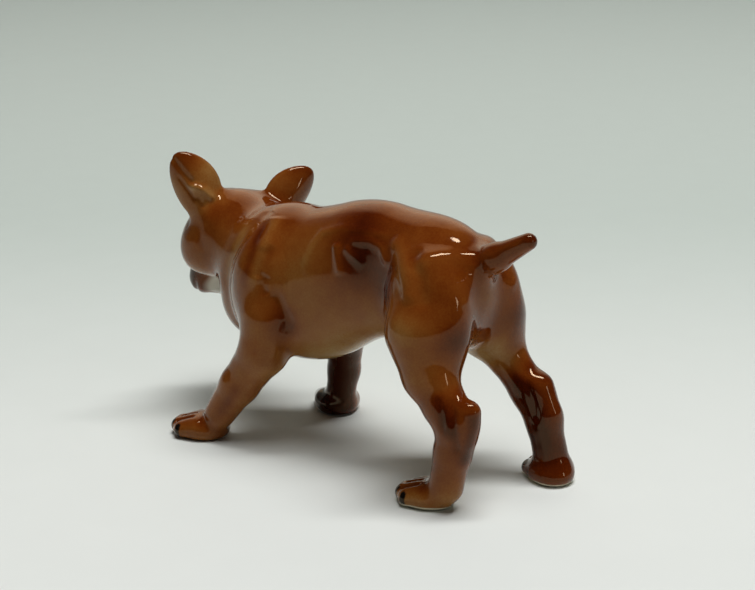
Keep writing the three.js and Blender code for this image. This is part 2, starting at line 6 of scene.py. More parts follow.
import bpy
import numpy as np
from bpy.props import FloatProperty, FloatVectorProperty, PointerProperty
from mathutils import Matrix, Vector
from mathutils.geometry import tessellate_polygon


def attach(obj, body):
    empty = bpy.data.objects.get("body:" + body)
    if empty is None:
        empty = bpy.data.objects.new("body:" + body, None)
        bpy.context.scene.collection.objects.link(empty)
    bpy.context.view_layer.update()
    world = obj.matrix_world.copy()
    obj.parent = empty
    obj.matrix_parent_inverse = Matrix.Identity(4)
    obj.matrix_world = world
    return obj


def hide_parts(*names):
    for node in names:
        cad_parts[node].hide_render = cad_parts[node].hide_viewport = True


bl_info = {
    "name": "Glazed Dog Figurine",
    "version": (1, 0, 0),
    "blender": (4, 5, 0),
    "location": "View3D > Sidebar > Figurine",
    "description": "Models and glazes a walking bulldog figurine over its CAD castings",
    "category": "Add Mesh",
}

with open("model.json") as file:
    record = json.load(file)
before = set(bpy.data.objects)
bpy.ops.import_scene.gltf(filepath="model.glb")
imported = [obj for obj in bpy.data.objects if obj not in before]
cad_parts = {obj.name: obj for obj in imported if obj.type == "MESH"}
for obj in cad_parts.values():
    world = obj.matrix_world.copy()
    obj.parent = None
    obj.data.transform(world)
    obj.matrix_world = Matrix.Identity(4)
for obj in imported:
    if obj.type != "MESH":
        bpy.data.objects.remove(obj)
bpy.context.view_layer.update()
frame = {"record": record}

# Sizes in millimetres and turns in degrees, in the axes the dog was modelled in:
# it faces -Y, its left side is +X, and it stands on z = 0.
# Eggs: middle x, y, z, then whole width, length and depth, then the tilt about X
RIBS = (0, -9, 42.8, 33, 52, 41.2, 6)
LOIN = (0, 13.5, 51.2, 28.4, 53, 35.8, 9)
RUMP = (0, 34.5, 53.9, 26, 29, 28, -8)
WITHERS = (0, -14.5, 46.8, 30, 25, 30, 0)
BRISKET = (0, -27, 37, 24, 18, 24, 0)
SEAT_OF_LEGS = (0, 41.5, 46.5, 13, 14.6, 22, -6)
TRUNK_BLEND = 6
# Hollows pressed into both flanks: middle and radii
FLANK_HOLLOW = ((14.2, 20, 56), (8, 9, 6.5))
FLANK_DIP = ((14.2, 23, 45), (8, 8, 9))
FLANK_DIP_DEPTH = 1.2
# The air hole under the belly, and how far up it runs
VENT_Y, VENT_TOP = 4, 32
# Rods: x, y, z and radius at each joint
NECK = ((1, -17, 48.6, 12.4), (-1, -28, 48.6, 11.4), (-3, -37, 49.4, 10.8))
TAIL = ((0, 44, 56.3, 4.6), (0, 52, 60.9, 3.4), (0, 61.2, 66.5, 2.1))
TAIL_SEAT_HEIGHT = 7
NECK_SEAT = ((0, -26, 52), (-0.15, -0.8, 0.58))
WAIST_Y = 12.75

# The head's middle and its turns about Z, X and Y, then its forms in its own axes, the paired ones
# on the left
HEAD = (-4, -41, 52)
HEAD_TURN, HEAD_NOD, HEAD_LEAN = -26.5, 33, -10
SKULL = (0, -0.5, -0.7, 26, 28, 23, 0)
CHEEK = (7.8, -3, -4.5, 14, 17, 16, 0)
BROW = (5.6, -9.2, 3.6, 8, 8, 6, 0)
LID = (6.4, -11.2, 0.8, 6.4, 5, 5.6, 0)
MUZZLE = (0, -14, -6.5, 18, 17, 14, 0)
FLEW = (4.6, -16, -9, 9.6, 12, 10, 0)
CHIN = (0, -13, -11.8, 11, 12, 6, 0)
NOSE = (0, -21.7, -3.8, 7, 4.4, 5, 0)
EYE = np.array((LID[0] + 0.1, LID[1] - 0.9, LID[2]))
HEAD_BLEND = 3
FACE_BLEND = 1.2
EYE_BLEND = 0.25

EAR_ROOT = np.array((9.2, 6.3, 0))
EAR_TIPS = {1: np.array((19, 11.5, 16.6)), -1: np.array((19.4, 11.5, 15.2))}
EAR_ACROSS = np.array((0.84, -0.43, -0.32))
EAR_WIDTH = 12.9
EAR_THICKNESS = 4.2
EAR_CUP = 0.9
EAR_POINT = 0.06
EAR_BELLY = 0.06
EAR_BOWS = {1: 0.9, -1: 0.2}
EAR_SEAT_HEIGHT = 7

# Paws: width, length, height, toe radius and toe spacing
FRONT_PAW = (12.2, 13.2, 4, 2.3, 2.8)
HIND_PAW = (11.4, 12, 3.8, 2.2, 2.7)
LEG_BLEND = 3.5
LIMB_BLEND = 1.8
TOE_BLEND = 2
HEEL_BLEND = 5
# how softly the head and the haunches run into the trunk
NECK_BLEND = 6
HAUNCH_BLEND = 5.5

# Legs on the left, with the right ones mirrored: the muscle, the bones, the hock's heel and the end
# of its tendon, the paw's place, turn and form, the ankle in the paw's axes, the seat and its distance
# from mid-plane
LEGS = {
    "front_left_leg": {
        "side": 1,
        "muscle": (12, -14, 42, 13, 19, 29, -8),
        "bones": ((13, -11, 36, 8), (15, -12.2, 27, 6.5), (17.2, -19.3, 16.5, 5.2)),
        "paw": (20.4, -31, 20, FRONT_PAW),
        "ankle": (1.5, 6.2, 7.5, 4.2),
        "seat": ((12.3, -13, 32), (0.87, -0.12, -0.48)),
        "inner": 4,
    },
    "front_right_leg": {
        "side": -1,
        "muscle": (12, -14, 40, 13, 19, 29, 0),
        "bones": ((13, -11, 34, 8), (15, -9.6, 25, 5.6), (17, -12, 13, 4.4)),
        "paw": (18.5, -16, 45, FRONT_PAW),
        "ankle": (0.7, 3.6, 5, 4.2),
        "seat": ((12.3, -12, 32), (0.87, -0.05, -0.48)),
        "inner": 4,
    },
    "hind_left_leg": {
        "side": 1,
        "muscle": (10.5, 40.2, 46, 16, 22, 32, 5),
        "bones": (
            (13.2, 40, 43, 9.3), (14.5, 43.5, 33, 6.7), (15.3, 48.8, 26.4, 5.2), (15.5, 52, 22.5, 4.8),
            (15.4, 51.4, 15, 4.5),
        ),
        "heel": ((15.6, 56.7, 27, 2.2), (15.6, 55, 20, 1.9)),
        "paw": (16, 44.2, 16, HIND_PAW),
        "ankle": (1.6, 5.5, 6, 4.4),
        "seat": ((9, 42, 40), (0.62, 0.35, -0.7)),
        "inner": 0.4,
    },
    "hind_right_leg": {
        "side": -1,
        "muscle": (11, 40, 45.6, 16, 22, 30, 0),
        "bones": ((12.5, 41.2, 41, 9.2), (14, 45.8, 31, 5), (14.5, 53, 23, 4.8), (15, 57.5, 15, 4.4)),
        "heel": ((14.5, 56.7, 25, 2.1), (14.5, 59.4, 19, 1.8)),
        "paw": (15.8, 59.2, 30, HIND_PAW),
        "ankle": (0, 0.9, 5, 4.5),
        "seat": ((9, 44, 38), (0.62, 0.35, -0.7)),
        "inner": 0.4,
    },
}

# Where the neck's skin folds over the shoulder
NECK_FOLD = (
    (8.9, -15.8, 61.5), (11.5, -15, 59.5), (13.8, -14.8, 57.3), (16.3, -14.4, 53.8), (17.9, -14.8, 49.2),
)
NECK_ROLL = ((7.3, -13, 62.1), (10.8, -12, 60), (13.4, -11.6, 57.4), (15.4, -11.4, 54))

# Lines modelled in the clay: half width, depth (below zero for a raised fold), then the points that
# each runs through. These run on both flanks.
FLANK_LINES = (
    # the edge of the last ribs and the long muscle of the back
    (1.1, -0.4, (
        (14.9, 2.2, 50.3), (13.7, 2.2, 54.6), (12.1, 3.2, 58.3), (10.4, 5, 61.3), (9.8, 11.2, 63.5),
        (9.5, 18.5, 64), (9, 24, 63.6), (9, 27.4, 63.5),
    )),
    (1.1, -0.45, ((12.2, 14, 60.2), (11.4, 16.7, 61.5), (10.7, 21, 61.9), (10.9, 24.8, 61), (12.7, 28.4, 56.4))),
    (1.2, -0.7, ((12.1, 10.9, 60.6), (12.5, 11.3, 59.4), (13.9, 13.4, 53.4), (14, 13.8, 52))),
    (1.2, -0.65, ((12.4, 13.6, 60), (12.6, 14.6, 59.2), (13.3, 19.3, 56.2), (13.4, 20.4, 55.4))),
    # where the thigh starts
    (2, 0.4, ((12.1, 26.6, 58.2), (12.9, 28.4, 55.6), (12.9, 27, 51), (13, 27.6, 46), (13.5, 30, 41))),
    (1.9, -1, (
        (9, 27, 63.5), (10.7, 31, 61.7), (13.7, 34.6, 59.2), (16.2, 37.4, 56.4), (17.8, 39.2, 53.5), (19.4, 41, 50.7),
    )),
    (1.6, 0.7, (
        (11.6, 35.6, 62.9), (13, 37.4, 61.6), (15.4, 40, 59.4), (17.2, 42.2, 56.6), (18.4, 43.7, 53.4), (19.2, 45, 50.4),
    )),
    # the haunch's upper and hind edges
    (2.4, -0.8, (
        (15, 38, 58.6), (13.4, 39.8, 60.2), (11.6, 41.4, 61), (9.6, 42.7, 61.5), (7.4, 44.1, 61.4), (4.6, 46, 60.6),
        (2, 47.4, 59.4),
    )),
    (2.2, -0.3, ((4.4, 48.2, 61), (6.4, 50, 57), (8.6, 51, 53.5), (11, 51.6, 50))),
    # the folds of the neck
    (2.4, 0.7, (
        (3.8, -16.6, 63.6), (5.5, -18.5, 63.1), (9.3, -18.4, 61.2), (11.6, -20.2, 58.9), (13.3, -22, 56.2),
        (14.2, -22.9, 54.3), (14.9, -25, 50.2), (14.3, -27.4, 44.8), (13.1, -29.4, 39.4),
    )),
    (2.3, 0.4, NECK_FOLD),
    (2.2, -0.5, NECK_ROLL),
    (1.5, 0.45, ((13.5, -9.4, 56.3), (15.9, -9.9, 53.3), (17.4, -11, 50.2), (18, -11.2, 47.4))),
    (1.2, 0.4, ((17, -8.5, 49.3), (17.9, -9.5, 46.5), (17.8, -8, 43.6))),
    # behind the elbow
    (1.3, 0.8, ((16.9, -6.1, 45.6), (16.6, -3.8, 41), (15.9, -2.3, 37.6), (15.6, -3.8, 33))),
)
LINE_FADE = 0.16
# These are on one leg each, and fade out at their ends as the flanks' do
LEG_LINES = (
    (0.9, 0.5, ((18.2, 52.4, 31), (19.3, 54, 26.8), (19.6, 55.2, 22), (18.8, 55.2, 16))),
    (0.8, 0.35, ((20.3, 50.2, 30.5), (20.6, 51.6, 26.5), (20.4, 52.6, 21.5))),
    (0.9, 0.5, ((-9.4, 52.6, 30.6), (-10.2, 55.2, 26.3), (-10.3, 57, 22.2), (-10.9, 58.4, 16))),
    (0.9, 0.5, ((-19.6, 54, 30), (-19.2, 56.4, 25), (-19, 58.4, 19))),
    (0.9, 0.4, ((20.4, -9, 30), (20.6, -12.5, 25.5), (20, -17, 20))),
    (0.9, 0.4, ((-20.3, -9, 27), (-21, -9.6, 21), (-21, -11, 16))),
)
# These are on the head, in its own axes, on both sides
HEAD_LINES = (
    (1.5, 0.4, ((8, 10.2, 3.1), (9.4, 9.8, 0.9), (11.1, 7.9, -0.9), (11.5, 5.8, -5.1), (10.7, 5.1, -7.7))),
    # furrow of the forehead, the folds over the muzzle and beside it
    (1.0, 0.6, ((0, -15.4, 3.4), (0, -12, 7.4), (0, -8, 9.6))),
    (0.8, 0.7, ((0, -19, 0.4), (3.6, -17.8, 0.2), (7.4, -14.6, -2.2), (9.4, -12, -6))),
    (0.6, 0.35, ((0, -17, 2.4), (2.6, -16.4, 2.4))),
    # nose leather, lip and mouth
    (0.7, 0.5, ((0, -20.6, -0.8), (2.6, -20.6, -1.6), (3.9, -20.8, -4), (2.6, -21.6, -6.3))),
    (0.45, 0.6, ((0, -24.4, -4.6), (0, -24, -7), (0, -23, -10))),
    (0.6, 0.8, ((0.2, -22.6, -10.6), (3.6, -21.8, -12.4), (7, -18.4, -13.2), (9, -13, -11.8))),
    (0.7, 0.7, ((1.9, -24, -3.7), (2.5, -23.7, -3.1))),
)
# These are on the left ear's back: side and rise from the leaf's middle. The first two are the muscle
# over its root.
LEFT_EAR_LINES = (
    (1.1, -0.9, ((0.6, -0.02), (-1.6, -0.25), (-2.9, -0.5))),
    (4.0, -1.2, ((-0.5, -0.95), (-1.5, -1.05))),
    (0.8, 0.5, ((1.7, 0.85), (1.4, 0.5), (0.5, 0.08))),
    (0.6, 0.4, ((3.2, 0.35), (2.6, 0), (1.8, -0.35))),
    (0.6, 0.35, ((0.9, -0.35), (0.2, -0.6))),
)

# Spray of brown under the glaze: how much of it everywhere, then how much more or less round a point,
# within a radius. Some patches are painted shade and one is a painted reflection, as marked.
SPRAY = 0.52
BODY_SPRAY_AND_PAINTED_LIGHT = (
    # painted shade: the first two patches darken the flank hollow and the crease where the thigh starts
    ((13.5, 20, 56), 8.5, 0.4), ((14, 28, 50), 4, 0.2), ((0, 8, 24), 17, -0.24), ((0, 34, 34), 11, -0.2),
    ((15, 44, 52), 9, 0.1), ((12, 53, 43), 8, 0.14), ((0, 64, 68), 5, 0.3), ((0, 50, 60), 7, 0.1),
    # painted reflection: the last patch here pales the low front of the thigh
    ((0, 56, 62), 5, 0.2), ((9, 16, 65), 7, 0.2), ((16, 0, 52), 8, -0.1), ((22, 41, 46), 4.5, -0.2),
    # painted shade: these darken the thigh's hind edge, the gap between the thighs under the tail and the crease
    # behind the elbow
    ((13.3, 51, 43), 4, 0.2), ((2, 46, 44), 4, 0.2), ((15.5, -4, 36), 4.5, 0.3),
)
# Streaks of it: half width, how much more or less, then the points each runs through. Down both sides
# of the neck go stripes of painted light and shade along its folds: the paler ones are painted light, the darker one
# painted shade:
NECK_PAINTED_LIGHT_AND_SHADE = (
    (1.8, -0.14, (*NECK_ROLL, (17, -12, 49), (17.5, -13, 44))),
    (1.6, 0.16, (*NECK_FOLD, (18, -16, 44))),
    (2, -0.12, ((6, -22, 60.6), (10, -22.5, 58), (13, -24, 54), (14.4, -25.5, 50), (14, -28, 44))),
)
# and down the shins
SHIN_STREAKS = (
    (2, 0.28, ((19.9, 48.9, 31.9), (20.2, 51, 27.4), (20.6, 53.8, 22.7), (20, 54.3, 19.9))),
    (1.8, 0.3, ((16.4, 58.2, 28.6), (17.2, 58.1, 20.7), (16.4, 55.6, 12))),
    (1.4, 0.22, ((21, -15, 19), (22, -19, 13), (22.5, -23, 8))),
    (2.2, 0.32, ((-9.6, 49.6, 30.4), (-9.8, 53.8, 25.9), (-10.4, 56.6, 21.1), (-10.4, 59.3, 15), (-10.6, 60, 9))),
)
# Zones of it: how much more or less, then each measure that bounds the zone, where it starts and where
# it is full. The measures are a point's place, the way its skin faces, and how far that is inwards.
X, Y, Z, FACES_LEFT, FACES_BACK, FACES_UP, FACES_IN = range(7)
ZONE_SPRAY_AND_PAINTED_SHADE = (
    (0.12, ((FACES_UP, 0.35, 0.95),)),
    (-0.12, ((FACES_UP, -0.2, -0.95),)),
    # the hind shins darker, partly their sprayed colour and partly painted shade low on the legs, and the right one
    # more as painted shade
    (0.1, ((Y, 30, 44), (Z, 34, 25), (Z, 3, 12))),
    (0.14, ((X, 0, -1), (Y, 30, 44), (Z, 34, 25), (Z, 3, 12))),
    # painted shade on the right front leg where it looks left and on the right hind paw; then the left hind paw
    (0.6, ((FACES_LEFT, -0.5, 0.3), (X, -4, -10), (Y, 4, -4), (Z, 36, 18))),
    (0.22, ((X, -4, -10), (Y, 44, 50), (Z, 18, 6))),
    (-0.12, ((X, 4, 10), (Y, 30, 44), (Z, 7, 4))),
    # the inner sides of the legs
    (-0.2, ((FACES_IN, 0.2, 0.8), (Z, 46, 36), (Z, 24, 30))),
)
# The dark mask round the muzzle: middle and radii in the head's axes, then how much more spray
MASK = ((3, -18, -8), (11, 9, 8), 0.75)
# The ears lose spray: both, then how much more the left one and less the right one, then the bowls
EAR_SPRAY = (0.07, 0.05, 0.2)
# How much colour gathers in the hollows and breaks over the ridges
HOLLOW_SPRAY, RIDGE_SPRAY = 0.45, 0.14
# Left bare for the white: jaw in the head's axes and chest, each with its middle and radii
BARE_JAW = ((2, -7, -15.5), (7, 9, 4.2))
BARE_CHEST = ((0, -37, 37), (7.5, 6, 8))
# Brushed nails: how far the stroke looks to the side on inner and outer toes, in radians, where it runs
# from the toe's end, outwards and up as shares of its radius, and its half width with a soft edge
NAIL_TURNS = (0.65, 1.3)
NAIL_STROKE = ((1, -0.7), (0.75, 0.75))
NAIL_EDGE = (0.95, 0.7)


def lengths(rows):
    return np.sqrt((rows * rows).sum(1))


def units(rows):
    """Each row at length 1."""
    return rows / np.maximum(lengths(rows), 1e-9)[:, None]


def unit(vector):
    return vector / np.linalg.norm(vector)


def patch(points, middle, radii):
    """Share of a soft patch at each point: 1 in its middle, fading over its radii."""
    return np.exp(-(((points - middle) / radii) ** 2).sum(1))


def blend(a, b, width):
    """Two fields flow into one with a fillet about as wide as the blend."""
    share = np.maximum(width - np.abs(a - b), 0) / width
    return np.minimum(a, b) - share * share * (width / 4)


def smooth_step(value, start, full):
    """0 at the start, 1 where it is full, and smooth between. It may rise or fall."""
    share = np.clip((value - start) / (full - start), 0, 1)
    return share * share * (3 - 2 * share)


def turning(turn, nod, lean):
    """Axes, as columns, of a form turned about Z, then nodded about X, then leaned about Y."""
    t, n, l = np.radians((turn, nod, lean))
    about_z = np.array(((math.cos(t), -math.sin(t), 0), (math.sin(t), math.cos(t), 0), (0, 0, 1)))
    about_x = np.array(((1, 0, 0), (0, math.cos(n), -math.sin(n)), (0, math.sin(n), math.cos(n))))
    about_y = np.array(((math.cos(l), 0, math.sin(l)), (0, 1, 0), (-math.sin(l), 0, math.cos(l))))
    return about_z @ about_x @ about_y


def egg(points, form):
    """How far each point lies outside an egg."""
    half = np.array(form[3:6]) / 2
    near = (points - form[:3]) @ turning(0, form[6], 0) / half
    off = lengths(near)
    return off * (off - 1) / np.maximum(lengths(near / half), 1e-9)


def rod(points, start, end):
    """How far each point lies outside a rod between two balls of different radius."""
    span = np.subtract(end[:3], start[:3])
    long2 = span @ span
    taper = start[3] - end[3]
    side2 = long2 - taper * taper
    from_start = points - start[:3]
    along = from_start @ span
    past = along - long2
    across = from_start * long2 - along[:, None] * span
    off2 = (across * across).sum(1)
    edge = np.sign(taper) * taper * taper * off2
    along2, past2 = along * along * long2, past * past * long2
    field = (np.sqrt(off2 * side2 / long2) + along * taper) / long2 - start[3]
    field = np.where(np.sign(along) * side2 * along2 < edge, np.sqrt(off2 + along2) / long2 - start[3], field)
    return np.where(np.sign(past) * side2 * past2 > edge, np.sqrt(off2 + past2) / long2 - end[3], field)


def limb(points, joints):
    field = rod(points, joints[0], joints[1])
    for start, end in zip(joints[1:], joints[2:]):
        field = blend(field, rod(points, start, end), LIMB_BLEND)
    return field


def line_run(points, line):
    """Distance from each point to a bent line, and how far along the line it is nearest, as a share."""
    near, run, passed = np.full(len(points), np.inf), np.zeros(len(points)), 0
    for start, end in zip(line, line[1:]):
        span = np.subtract(end, start)
        length = np.sqrt(span @ span)
        from_start = points - start
        share = np.clip(from_start @ span / (span @ span), 0, 1)
        off = ((from_start - share[:, None] * span) ** 2).sum(1)
        run = np.where(off < near, passed + share * length, run)
        near = np.minimum(near, off)
        passed += length
    return np.sqrt(near), run / passed


def fading(run, start, full):
    """How strong a line is, as it fades out over a share of its run at both ends."""
    return smooth_step(np.minimum(run, 1 - run), start, full)


def carve(field, points, lines, deep=1, fade=0):
    """Adds modelled lines, each only near where it runs, at a share of their depth."""
    for width, depth, line in lines:
        low, high = np.min(line, 0) - 3 * width, np.max(line, 0) + 3 * width
        near = ((points > low) & (points < high)).all(1)
        if near.any():
            off, run = line_run(points[near], line)
            strength = fading(run, -1e-6, fade) if fade else 1
            field[near] += depth * deep * strength * np.exp(-((off / width) ** 2))
    return field


def add(field, points, form, middle, reach, width):
    """Blends in a form where it is near enough to change the sum."""
    near = lengths(points - middle) - reach < np.maximum(field, 0) + width
    if near.any():
        field[near] = blend(field[near], form(points[near]), width)
    return field


def mirrored(points, side):
    """The points as the left side has them, or on side 0 all of them brought over to the left."""
    turned = points.copy()
    turned[:, 0] = np.abs(turned[:, 0]) if side == 0 else turned[:, 0] * side
    return turned


HEAD_AXES = turning(HEAD_TURN, HEAD_NOD, HEAD_LEAN)


def in_head(points):
    return (points - HEAD) @ HEAD_AXES


def ear_axes(which):
    """Up, across and back of an ear's leaf on a mirrored head, and its half height."""
    up = EAR_TIPS[which] - EAR_ROOT
    height = np.linalg.norm(up)
    up = up / height
    across = unit(EAR_ACROSS - EAR_ACROSS @ up * up)
    return up, across, np.cross(up, across), height / 2


def in_ear(local, which):
    """Rise as a share of the half height, then side and back in millimetres, on a mirrored head."""
    up, across, back, half = ear_axes(which)
    from_middle = local - (EAR_ROOT + EAR_TIPS[which]) / 2
    rise = from_middle @ up / half
    return rise, from_middle @ across + EAR_BOWS[which] * np.maximum(1 - rise * rise, -1), from_middle @ back


def ear(local, which):
    sizes = bpy.context.scene.dog_sizes
    half_height = ear_axes(which)[3]
    rise, side, back = in_ear(local, which)
    narrowing = np.maximum(1 - EAR_POINT * rise - EAR_BELLY * rise * rise, 0.3)
    u = side / narrowing / (EAR_WIDTH / 2)
    w = (back + EAR_CUP * side * side / EAR_WIDTH) / (EAR_THICKNESS / 2)
    off = np.sqrt(rise * rise + u * u + w * w)
    slope = np.sqrt((rise / half_height) ** 2 + (u * 2 / EAR_WIDTH) ** 2 + (w * 2 / EAR_THICKNESS) ** 2)
    field = np.maximum(0.8 * off * (off - 1) / np.maximum(slope, 1e-9), -EAR_THICKNESS / 2)
    behind = 1 / (1 + np.exp(-(w + 0.2) * 2.5))
    if which == 1:
        flat = np.stack((side, rise * half_height, 0 * rise), 1)
        lines = [(a, b, [(s, r * half_height, 0) for s, r in line]) for a, b, line in LEFT_EAR_LINES]
        field += behind * carve(np.zeros(len(local)), flat, lines, sizes.folds)
    # the hollow of the ear, on its front
    bowl = np.exp(-((u / 0.62) ** 4) - (((rise - 0.05) / 0.72) ** 4))
    return field + (1 - behind) * sizes.ear_hollow * bowl


def eyeball(local):
    """How far each point lies outside the eyeball, in the head's axes."""
    return lengths(local - EYE) - bpy.context.scene.dog_sizes.eye / 2


def head(points):
    own = in_head(points)
    local = mirrored(own, 0)
    field = blend(egg(local, SKULL), egg(local, CHEEK), HEAD_BLEND)
    for form, width in (
        (BROW, HEAD_BLEND), (MUZZLE, HEAD_BLEND), (FLEW, FACE_BLEND), (CHIN, FACE_BLEND), (NOSE, FACE_BLEND / 2),
        (LID, FACE_BLEND),
    ):
        field = blend(field, egg(local, form), width)
    field = carve(field, local, HEAD_LINES, bpy.context.scene.dog_sizes.folds)
    field = blend(field, eyeball(local), EYE_BLEND)
    leaf = np.empty(len(points))
    for which in (1, -1):
        on_side = own[:, 0] * which > 0 if which > 0 else own[:, 0] <= 0
        leaf[on_side] = ear(local[on_side], which)
    return blend(field, leaf, HEAD_BLEND)


def swing(across, back, turn):
    """Across and back, turned by an angle in degrees."""
    c, s = math.cos(math.radians(turn)), math.sin(math.radians(turn))
    return across * c - back * s, across * s + back * c


def in_paw(points, place):
    """A paw's own axes: across, back and up from the middle of its sole."""
    x, y, turn, _ = place
    return np.stack((*swing(points[:, 0] - x, points[:, 1] - y, -turn), points[:, 2]), 1)


def toes_of(form):
    """Start and end of each toe, in the paw's axes."""
    _, length, _, radius, spacing = form
    for place in (-1.5, -0.5, 0.5, 1.5):
        reach = length * (0.5 if abs(place) < 1 else 0.33)
        yield (place * spacing * 0.9, 0, radius * 1.35, radius), (place * spacing, -reach, radius, radius * 0.92)


def paw(points, place):
    local = in_paw(points, place)
    width, length, height, radius, spacing = place[3]
    field = egg(local, (0, length * 0.09, height * 0.6, width, length, height * 2, 0))
    for start, end in toes_of(place[3]):
        field = blend(field, rod(local, start, end), TOE_BLEND)
    # each cleft runs from the floor up the paw's front and back over its top
    run = np.array(((1, -0.52, 0), (1, -0.45, 1.9), (0.9, -0.12, 2.5)))
    clefts = [(0.55, 1, run * (side * spacing, length, radius)) for side in (-1, 0, 1)]
    return carve(field, local, clefts, bpy.context.scene.dog_sizes.toe_cleft)


def leg(points, plan):
    local = mirrored(points, plan["side"])
    x, y, turn, _ = plan["paw"]
    across, back = swing(*plan["ankle"][:2], turn)
    ankle = (x + across, y + back, *plan["ankle"][2:])
    field = blend(egg(local, plan["muscle"]), limb(local, (*plan["bones"], ankle)), LEG_BLEND)
    if "heel" in plan:
        field = blend(field, rod(local, *plan["heel"]), HEEL_BLEND)
    return blend(field, paw(local, plan["paw"]), LEG_BLEND / 1.5)


def trunk(points):
    field = blend(egg(points, RIBS), egg(points, LOIN), TRUNK_BLEND)
    for form in (RUMP, WITHERS, BRISKET, SEAT_OF_LEGS):
        field = blend(field, egg(points, form), TRUNK_BLEND)
    mirror = mirrored(points, 0)
    field += bpy.context.scene.dog_sizes.flank_hollow * patch(mirror, *FLANK_HOLLOW)
    field += FLANK_DIP_DEPTH * patch(mirror, *FLANK_DIP)
    return blend(field, limb(points, NECK), TRUNK_BLEND)


def dog(points):
    """How far each point lies outside the whole dog."""
    sizes = bpy.context.scene.dog_sizes
    field = trunk(points)
    # each form is added within a reach round its middle, which it doesn't fill
    field = add(field, points, head, HEAD, 32, NECK_BLEND)
    field = add(field, points, lambda p: limb(p, TAIL), (0, 52, 60.5), 16, HEAD_BLEND)
    for plan in LEGS.values():
        places = np.array([plan["muscle"][:3], *(b[:3] for b in plan["bones"]), (*plan["paw"][:2], 0)], float)
        places[:, 0] *= plan["side"]
        middle = (places.min(0) + places.max(0)) / 2
        reach = lengths(places - middle).max() + 18
        width = HAUNCH_BLEND if "heel" in plan else LEG_BLEND
        field = add(field, points, lambda p, plan=plan: leg(p, plan), middle, reach, width)
    field = carve(field, mirrored(points, 0), FLANK_LINES, sizes.folds, LINE_FADE)
    field = carve(field, points, LEG_LINES, sizes.folds, LINE_FADE)
    # the air hole, then the soles, ground flat, each with a worn edge
    hole = np.hypot(points[:, 0], points[:, 1] - VENT_Y) - sizes.vent / 2
    hole = np.maximum(hole, points[:, 2] - VENT_TOP)
    field = -blend(-field, hole, 0.5)
    return -blend(-field, points[:, 2].copy(), 0.9)


def slope_of(field, points, step):
    """The field's slope at each point: where it rises fastest, and how fast."""
    ways = np.array(((1, -1, -1), (-1, -1, 1), (-1, 1, -1), (1, 1, 1)))
    return sum(field(points + step * way)[:, None] * way for way in ways) / (4 * step)


CORNERS = np.array([(n & 1, n >> 1 & 1, n >> 2 & 1) for n in range(8)])


def settle_squares(values, at):
    """Lattice cells that the surface crosses, once no square of theirs is inside only across its diagonal."""
    while True:
        inside = values[at] < 0
        crossed = inside.any(1) & ~inside.all(1)
        squares = np.concatenate([at[crossed][:, (0, u, u | v, v)] for u, v in ((1, 2), (2, 4), (4, 1))])
        held = values[squares]
        lone = (held < 0)[:, 0] != (held < 0)[:, 1]
        odd = lone & ((held < 0)[:, 0] == (held < 0)[:, 2]) & ((held < 0)[:, 1] == (held < 0)[:, 3])
        if not odd.any():
            return crossed
        nearest = np.where(held[odd] < 0, np.inf, held[odd]).argmin(1)
        values[squares[odd][np.arange(len(nearest)), nearest]] = -1e-3


def skin(field, low, high, pitch):
    """Points and four-sided faces on the field's zero: one point in each lattice cell that the surface crosses."""
    halvings = 5
    cells = np.indices(np.ceil((high - low) / (pitch * 2**halvings)).astype(int)).reshape(3, -1).T
    for level in range(halvings, 0, -1):
        side = pitch * 2**level
        cells = cells[np.abs(field(low + (cells + 0.5) * side)) < 1.75 * side + 0.2]
        cells = (cells[:, None] * 2 + CORNERS).reshape(-1, 3)
    strides = np.array((1 << 22, 1 << 11, 1))
    nodes, at = np.unique((cells[:, None] + CORNERS) @ strides, return_inverse=True)
    at = at.reshape(-1, 8)
    values = field(low + np.stack((nodes >> 22, nodes >> 11 & 2047, nodes & 2047), 1) * pitch)
    crossed = settle_squares(values, at)
    cells, values = cells[crossed], values[at[crossed]]
    inside = values < 0
    keys = cells @ strides
    order = np.argsort(keys)
    cells, values, inside, keys = cells[order], values[order], inside[order], keys[order]
    total, count = np.zeros((len(cells), 3)), np.zeros(len(cells))
    for n in range(8):
        for axis in range(3):
            if n >> axis & 1:
                continue
            m = n | 1 << axis
            cut = inside[:, n] != inside[:, m]
            hit = np.tile(CORNERS[n].astype(float), (cut.sum(), 1))
            hit[:, axis] = values[cut, n] / (values[cut, n] - values[cut, m])
            total[cut] += hit
            count[cut] += 1
    points = low + (cells + total / count[:, None]) * pitch
    faces = []
    for axis in range(3):
        cut = np.flatnonzero(inside[:, 0] != inside[:, 1 << axis])
        u, v = strides[(axis + 1) % 3], strides[(axis + 2) % 3]
        wanted = keys[cut][:, None] + np.array((0, -u, -u - v, -v))
        ring = np.minimum(np.searchsorted(keys, wanted), len(keys) - 1)
        if (keys[ring] != wanted).any():
            raise ValueError("the skin has a gap: make its pitch finer")
        ring[~inside[cut, 0]] = ring[~inside[cut, 0]][:, ::-1]
        faces.append(ring)
    slope = slope_of(field, points, pitch / 8)
    steepness = np.maximum((slope * slope).sum(1), 0.05)
    for _ in range(2):
        move = np.clip(field(points) / steepness, -pitch / 2, pitch / 2)
        points = points - slope * move[:, None]
    return points, np.concatenate(faces)


# the corners of the space that holds the dog, mm
SPACE = (-32.0, -66, -1.6), (32.0, 74, 80)
# how far off and in the skin is felt for hollows and ridges, and how far apart its slope is taken, mm
FEELER = 1.1
SLOPE_STEP = 0.08


